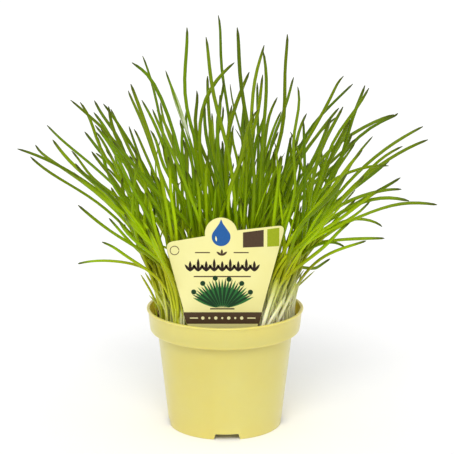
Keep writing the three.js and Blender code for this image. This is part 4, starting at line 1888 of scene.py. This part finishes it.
    def _blanch(self, plantlet: Plantlet, draw: Draw) -> float:
        """Returns how white a plantlet is at its foot: most at the front right, from 0 to 1."""
        x, y, _ = plantlet.foot
        white = self.blanch_middle + self.blanch_rightwards * x
        white -= self.blanch_backwards * max(0.0, y - self.blanch_front)
        return min(1.0, max(0.0, white + draw.between(*self.blanch_stray)))

    def _rising_from_soil(
        self, growth: ChiveGrowth, own: list[Plantlet], draw: Draw
    ) -> Iterator[tuple[Plantlet, Leaf]]:
        """Gives the leaves that rise straight from the soil, among a tuft's sheaths.

        Args:
            growth: The growth, for the space that leaves may take.
            own: The tuft's plantlets.
            draw: Random numbers.

        Yields:
            The plantlet that a leaf stands beside, and the leaf, which ends somewhere between
            the tips of two leaves that the tuft has.
        """
        grown = [(p, leaf) for p in own for leaf in p.leaves if leaf.curve.end[2] > self.low_tip]
        if len(grown) < 2:
            return
        is_open_side = own[0].foot[0] < self.open_side
        for _ in range(self.soil_leaves_open if is_open_side else self.soil_leaves):
            plantlet, leaf = grown[int(draw() * len(grown))]
            _, other = grown[int(draw() * len(grown))]
            share, short = draw.between(*self.tips_share), draw.between(*self.shortened)
            out = side_way(FULL_TURN * draw())
            start = moved(plantlet.foot, out, draw.between(*self.beside_foot))
            fall = mixed(plantlet.collar, mixed(leaf.curve.fall, other.curve.fall, share), short)
            end = mixed(plantlet.collar, mixed(leaf.curve.end, other.curve.end, share), short)
            gather = draw.between(*self.gathered)
            end = (end[0] * gather, end[1] * gather, end[2])
            is_thin = draw() < self.thin_share and math.hypot(end[0], end[1]) < self.thin_reach
            stray = self.thin_stray if is_thin else self.stray
            aside = (-out[1], out[0], 0.0)
            fall = moved(fall, aside, draw.between(-self.fall_stray, self.fall_stray))
            end = moved(end, aside, draw.between(-stray, stray))
            rise = moved(start, plantlet.axis, self.rise_share * math.dist(start, end))
            rise = moved(rise, out, draw.between(*self.rise_stray))
            curve = Curve(start, rise, fall, end)
            if all(growth.is_open_space(p) for p in steps(curve.points(self.points_checked))):
                yield plantlet, Leaf(curve, draw.between(*(self.thin if is_thin else self.thick)))

    def _add_sheath(
        self, pile: MeshPile, tube: MasterTube, plantlet: Plantlet, blanch: float, draw: Draw
    ) -> None:
        """Adds a plantlet's sheath, a little swollen at its foot and closing at its collar."""
        share = np.linspace(0, 1, tube.rings + 1)
        foot, collar = np.array(plantlet.foot), np.array(plantlet.collar)
        top = collar + np.array(plantlet.axis) * self.sheath_past_collar
        line = foot + (top - foot) * share[:, None]
        bulb = self.bulb * np.exp(-(((share - self.bulb_at) / self.bulb_width) ** 2))
        radii = self.sheath_radius + self.sheath_foot_more * (1 - share)
        radii = radii + bulb * draw.between(*self.bulb_share)
        radii[-3:] = self.collar_radii
        swept = tube.along(line, radii, self.sheath_flatness, self.sheath_twist)
        above_soil = np.maximum(0, swept.verts[:, 2] - self.sizes.soil)
        # The shade value is painted shade, drawn at random for each sheath
        pile.add(
            swept.verts, tube.faces, from_root=above_soil, from_tip=FAR,
            tint=draw() * self.sheath_tint, blanch=blanch, shade=draw() * self.sheath_shade,
        )

    def _line(self, growth: ChiveGrowth, leaf: Leaf, draw: Draw) -> np.ndarray:
        """Gives a leaf's line, one point for each ring of its tube, swaying where it can.

        Args:
            growth: The growth, for the space that leaves may take.
            leaf: The leaf.
            draw: Random numbers.

        Returns:
            The line's points.
        """
        if leaf.bent_tip:
            body = leaf.curve.points(self.rings - self.bend_links)
            shares = [(i + 1) / self.bend_links for i in range(self.bend_links)]
            line = np.array(body + [mixed(body[-1], leaf.bent_tip, t) for t in shares])
            for _ in range(self.bend_rounds):
                line[1:-1] = (line[:-2] + 2 * line[1:-1] + line[2:]) / 4
        else:
            shares = [1 - (1 - i / self.rings) ** self.closing for i in range(self.rings + 1)]
            line = np.array([leaf.curve.at(t) for t in shares])
        share = np.linspace(0, 1, len(line))
        swayed = line.copy()
        for axis in (0, 1):
            waves, reach = draw.between(*self.waves), draw.between(-1, 1) * self.sway
            wave = np.sin(FULL_TURN * (waves * share + draw()))
            swayed[:, axis] += reach * np.sin(np.pi * share) * wave
        return swayed if all(growth.is_open_space(tuple(p)) for p in swayed) else line

    def _add_leaf(
        self, pile: MeshPile, tube: MasterTube, line: np.ndarray, leaf: Leaf, blanch: float,
        draw: Draw,
    ) -> None:
        """Adds a round leaf, thinner at its foot, full to past its middle, with a blunt tip and its
        painted shade.

        Args:
            pile: The tuft's mesh.
            tube: The master of all leaves.
            line: The leaf's line.
            leaf: The leaf, for its radius and its root.
            blanch: How white it is at its foot.
            draw: Random numbers.
        """
        run = run_along(line)
        swell = self.fullness - self.foot_thinner * np.exp(-run / self.foot_run)
        closing = np.exp((run - run[-1]) / self.full_from_tip)
        radii = leaf.radius * swell * (1 - (1 - self.tip_share) * closing)
        radii[-1] *= self.blunt
        flat, twist = draw.between(*self.flatness), draw.between(-self.twist, self.twist)
        swept = tube.along(line, radii, flat, twist)
        x, y, z = leaf.curve.start
        rise = np.maximum(0, swept.from_root + z - self.sizes.soil)
        # Painted shade: a random darkening for each leaf, at least a share of it on the back right
        # side
        is_shaded_side = x > self.shaded_side[0] and y > self.shaded_side[1]
        least_shade = self.shaded_side_least if is_shaded_side else 0.0
        pile.add(
            swept.verts, tube.faces, from_root=rise, tint=draw(), blanch=blanch,
            from_tip=FAR if leaf.cut else swept.from_tip,
            shade=least_shade + (1 - least_shade) * draw() ** self.shade_power,
        )

    def _stubs(self, growth: ChiveGrowth, tube: MasterTube) -> bpy.types.Object:
        """Adds the short pale stems that were cut or snapped off near the soil.

        Args:
            growth: The growth, for its plantlets and the space that leaves may take.
            tube: The master of all leaves.

        Returns:
            The stubs as one piece.
        """
        draw = Draw(self.stub_seed)
        pile = MeshPile()
        for i in range(self.stubs):
            side = draw.between(*self.stub_turns[i % 2])
            reach = draw.between(*self.stub_reach)
            start = (reach * math.cos(side), reach * math.sin(side), self.sizes.sheath_foot)
            least_lean, more_lean = self.stub_leans
            out, lean = side_way(FULL_TURN * draw()), least_lean + more_lean * draw() ** 2
            length = draw.between(*self.stub_lengths) - self.stub_upright
            middle = moved(start, UP, self.stub_upright)
            way = moved((start[0] * self.stub_outward, 0.0, 1.0), out, lean)
            tip = moved(middle, unit(way), length)
            curve = Curve(start, middle, middle, tip)
            checked = curve.points(self.points_checked)
            is_behind_label = all(growth.is_behind_label(p) for p in checked)
            if is_behind_label or abs(tip[0]) > self.label_reach:
                leaf = Leaf(curve, draw.between(*self.stub_radii), cut=True)
                line = np.array(curve.points(self.rings))
                middle_blanch, rightwards, backwards = self.stub_blanch
                blanch = middle_blanch + rightwards * start[0] + backwards * start[1]
                blanch += draw.between(*self.stub_blanch_stray)
                self._add_leaf(pile, tube, line, leaf, min(1.0, max(0.0, blanch)), draw)
        for x, y, tip_x, tip_z, radius in self.seen_stubs:
            start, tip = (x, y, self.sizes.sheath_foot), (tip_x, y, tip_z)
            bend = mixed(start, tip, self.seen_bend_at)
            curve = Curve(start, moved(start, UP, self.seen_upright), bend, tip)
            line = np.array(curve.points(self.rings))
            self._add_leaf(pile, tube, line, Leaf(curve, radius, cut=True), 1.0, draw)
        return pile.piece("cut_stubs")

    def _papery_leaf(self, growth: ChiveGrowth) -> bpy.types.Object:
        """Adds the dry, split skin that stands out from one leaf below its tip."""
        across, up = self.papery_tip

        def miss(leaf: Leaf) -> float:
            """Returns how far a leaf's tip is seen from the split leaf's."""
            return math.dist(leaf.curve.end, growth.at_depth(across, up, leaf.curve.end[1]))

        leaf = min((leaf for p in growth.plantlets for leaf in p.leaves), key=miss)
        tube = MasterTube("papery_master", self.papery_sides, self.papery_rings)
        share = np.linspace(0, 1, tube.rings + 1)
        along = self.papery_from + self.papery_length * share
        line = np.array([leaf.curve.at(t) for t in along])
        least, more = self.papery_radii
        radii = least + more * np.sin(np.pi * share) ** BELLY
        swept = tube.along(line, radii, self.papery_flatness, self.papery_twist)
        pile = MeshPile()
        pile.add(swept.verts, tube.faces)
        return pile.piece("papery_leaf")

    def _husks(self, plantlets: list[Plantlet]) -> bpy.types.Object:
        """Adds the dry outer husks that curl away from some plantlets just above the soil."""
        tube = MasterTube("husk_master", self.husk_sides, self.husk_links)
        draw = Draw(self.husk_seed)
        pile = MeshPile()
        for plantlet in plantlets:
            if draw() > self.husk_share:
                continue
            out = side_way(LOOSE_TURN * draw())
            foot_up, foot_out = self.husk_foot
            foot = moved(moved(plantlet.foot, plantlet.axis, foot_up), out, foot_out)
            length = draw.between(*self.husk_lengths)
            curl = draw.between(*self.husk_curls)
            line = []
            share = np.linspace(0, 1, self.husk_links + 1)
            for t in share:
                up = moved(foot, plantlet.axis, length * t)
                line.append(moved(up, out, curl * t * t))
            radii = self.husk_radius * (1 - self.husk_narrowing * share**2)
            twist = draw.between(-1, 1)
            swept = tube.along(np.array(line), radii, self.husk_flatness, twist)
            pile.add(swept.verts, tube.faces)
        return pile.piece("dry_husks")


# The studio


@dataclass
class Studio:
    """The pale floor, the soft lights and the camera of the front view."""

    eye: Point = (1.5, -1264.8, 455.4)
    aim: Point = (1.5, 0.0, 154.8)
    lens: float = 136.1
    floor_size: float = 30.0
    world_strength: float = 0.8
    sun_place: Point = (-80.0, -900.0, 1000.0)
    sun_strength: float = 1.45
    sun_degrees: float = 32.0
    sun_aim: Point = (0.0, 0.0, 60.0)

    def build(self) -> None:
        """Sets up the studio."""
        self._floor()
        self._camera()
        self._world()
        self._sun()
        bpy.context.scene.view_settings.view_transform = "Standard"

    def _floor(self) -> None:
        """Lays the floor under the pot."""
        deselect_all()
        bpy.ops.mesh.primitive_plane_add(size=self.floor_size)
        floor = active("studio_floor")
        floor.data.materials.append(STUDIO_FLOOR.material())

    def _camera(self) -> None:
        """Places the camera at the photograph's viewing angle."""
        data = bpy.data.cameras.new("camera")
        data.lens = self.lens
        data.sensor_width = 36
        data.clip_end = 100
        camera = bpy.data.objects.new("camera", data)
        bpy.context.scene.collection.objects.link(camera)
        self._face(camera, self.eye, self.aim)
        bpy.context.scene.camera = camera

    def _world(self) -> None:
        """Fills the studio with even white light."""
        world = bpy.data.worlds.new("studio")
        world.use_nodes = True
        background = world.node_tree.nodes["Background"]
        background.inputs["Color"].default_value = (1, 1, 1, 1)
        background.inputs["Strength"].default_value = self.world_strength
        bpy.context.scene.world = world

    def _sun(self) -> None:
        """Lights the whole floor evenly, with wide and soft shadows."""
        data = bpy.data.lights.new("key", "SUN")
        data.angle = math.radians(self.sun_degrees)
        data.energy = self.sun_strength
        sun = bpy.data.objects.new("key", data)
        bpy.context.scene.collection.objects.link(sun)
        self._face(sun, self.sun_place, self.sun_aim)

    @staticmethod
    def _face(thing: bpy.types.Object, place: Point, aim: Point) -> None:
        """Places a camera or a light, and turns it to face a point."""
        thing.location = Vector(place) * MM
        way = Vector(aim) * MM - thing.location
        thing.rotation_euler = way.to_track_quat("-Z", "Y").to_euler()


def main() -> None:
    """Builds the potted chives and the studio round them."""
    logging.basicConfig(level=logging.INFO, format="%(message)s")
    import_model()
    NurseryPot().build()
    Peat().build()
    PlantLabel().build()
    ChiveTufts().build()
    Studio().build()


if __name__ == "__main__":
    main()
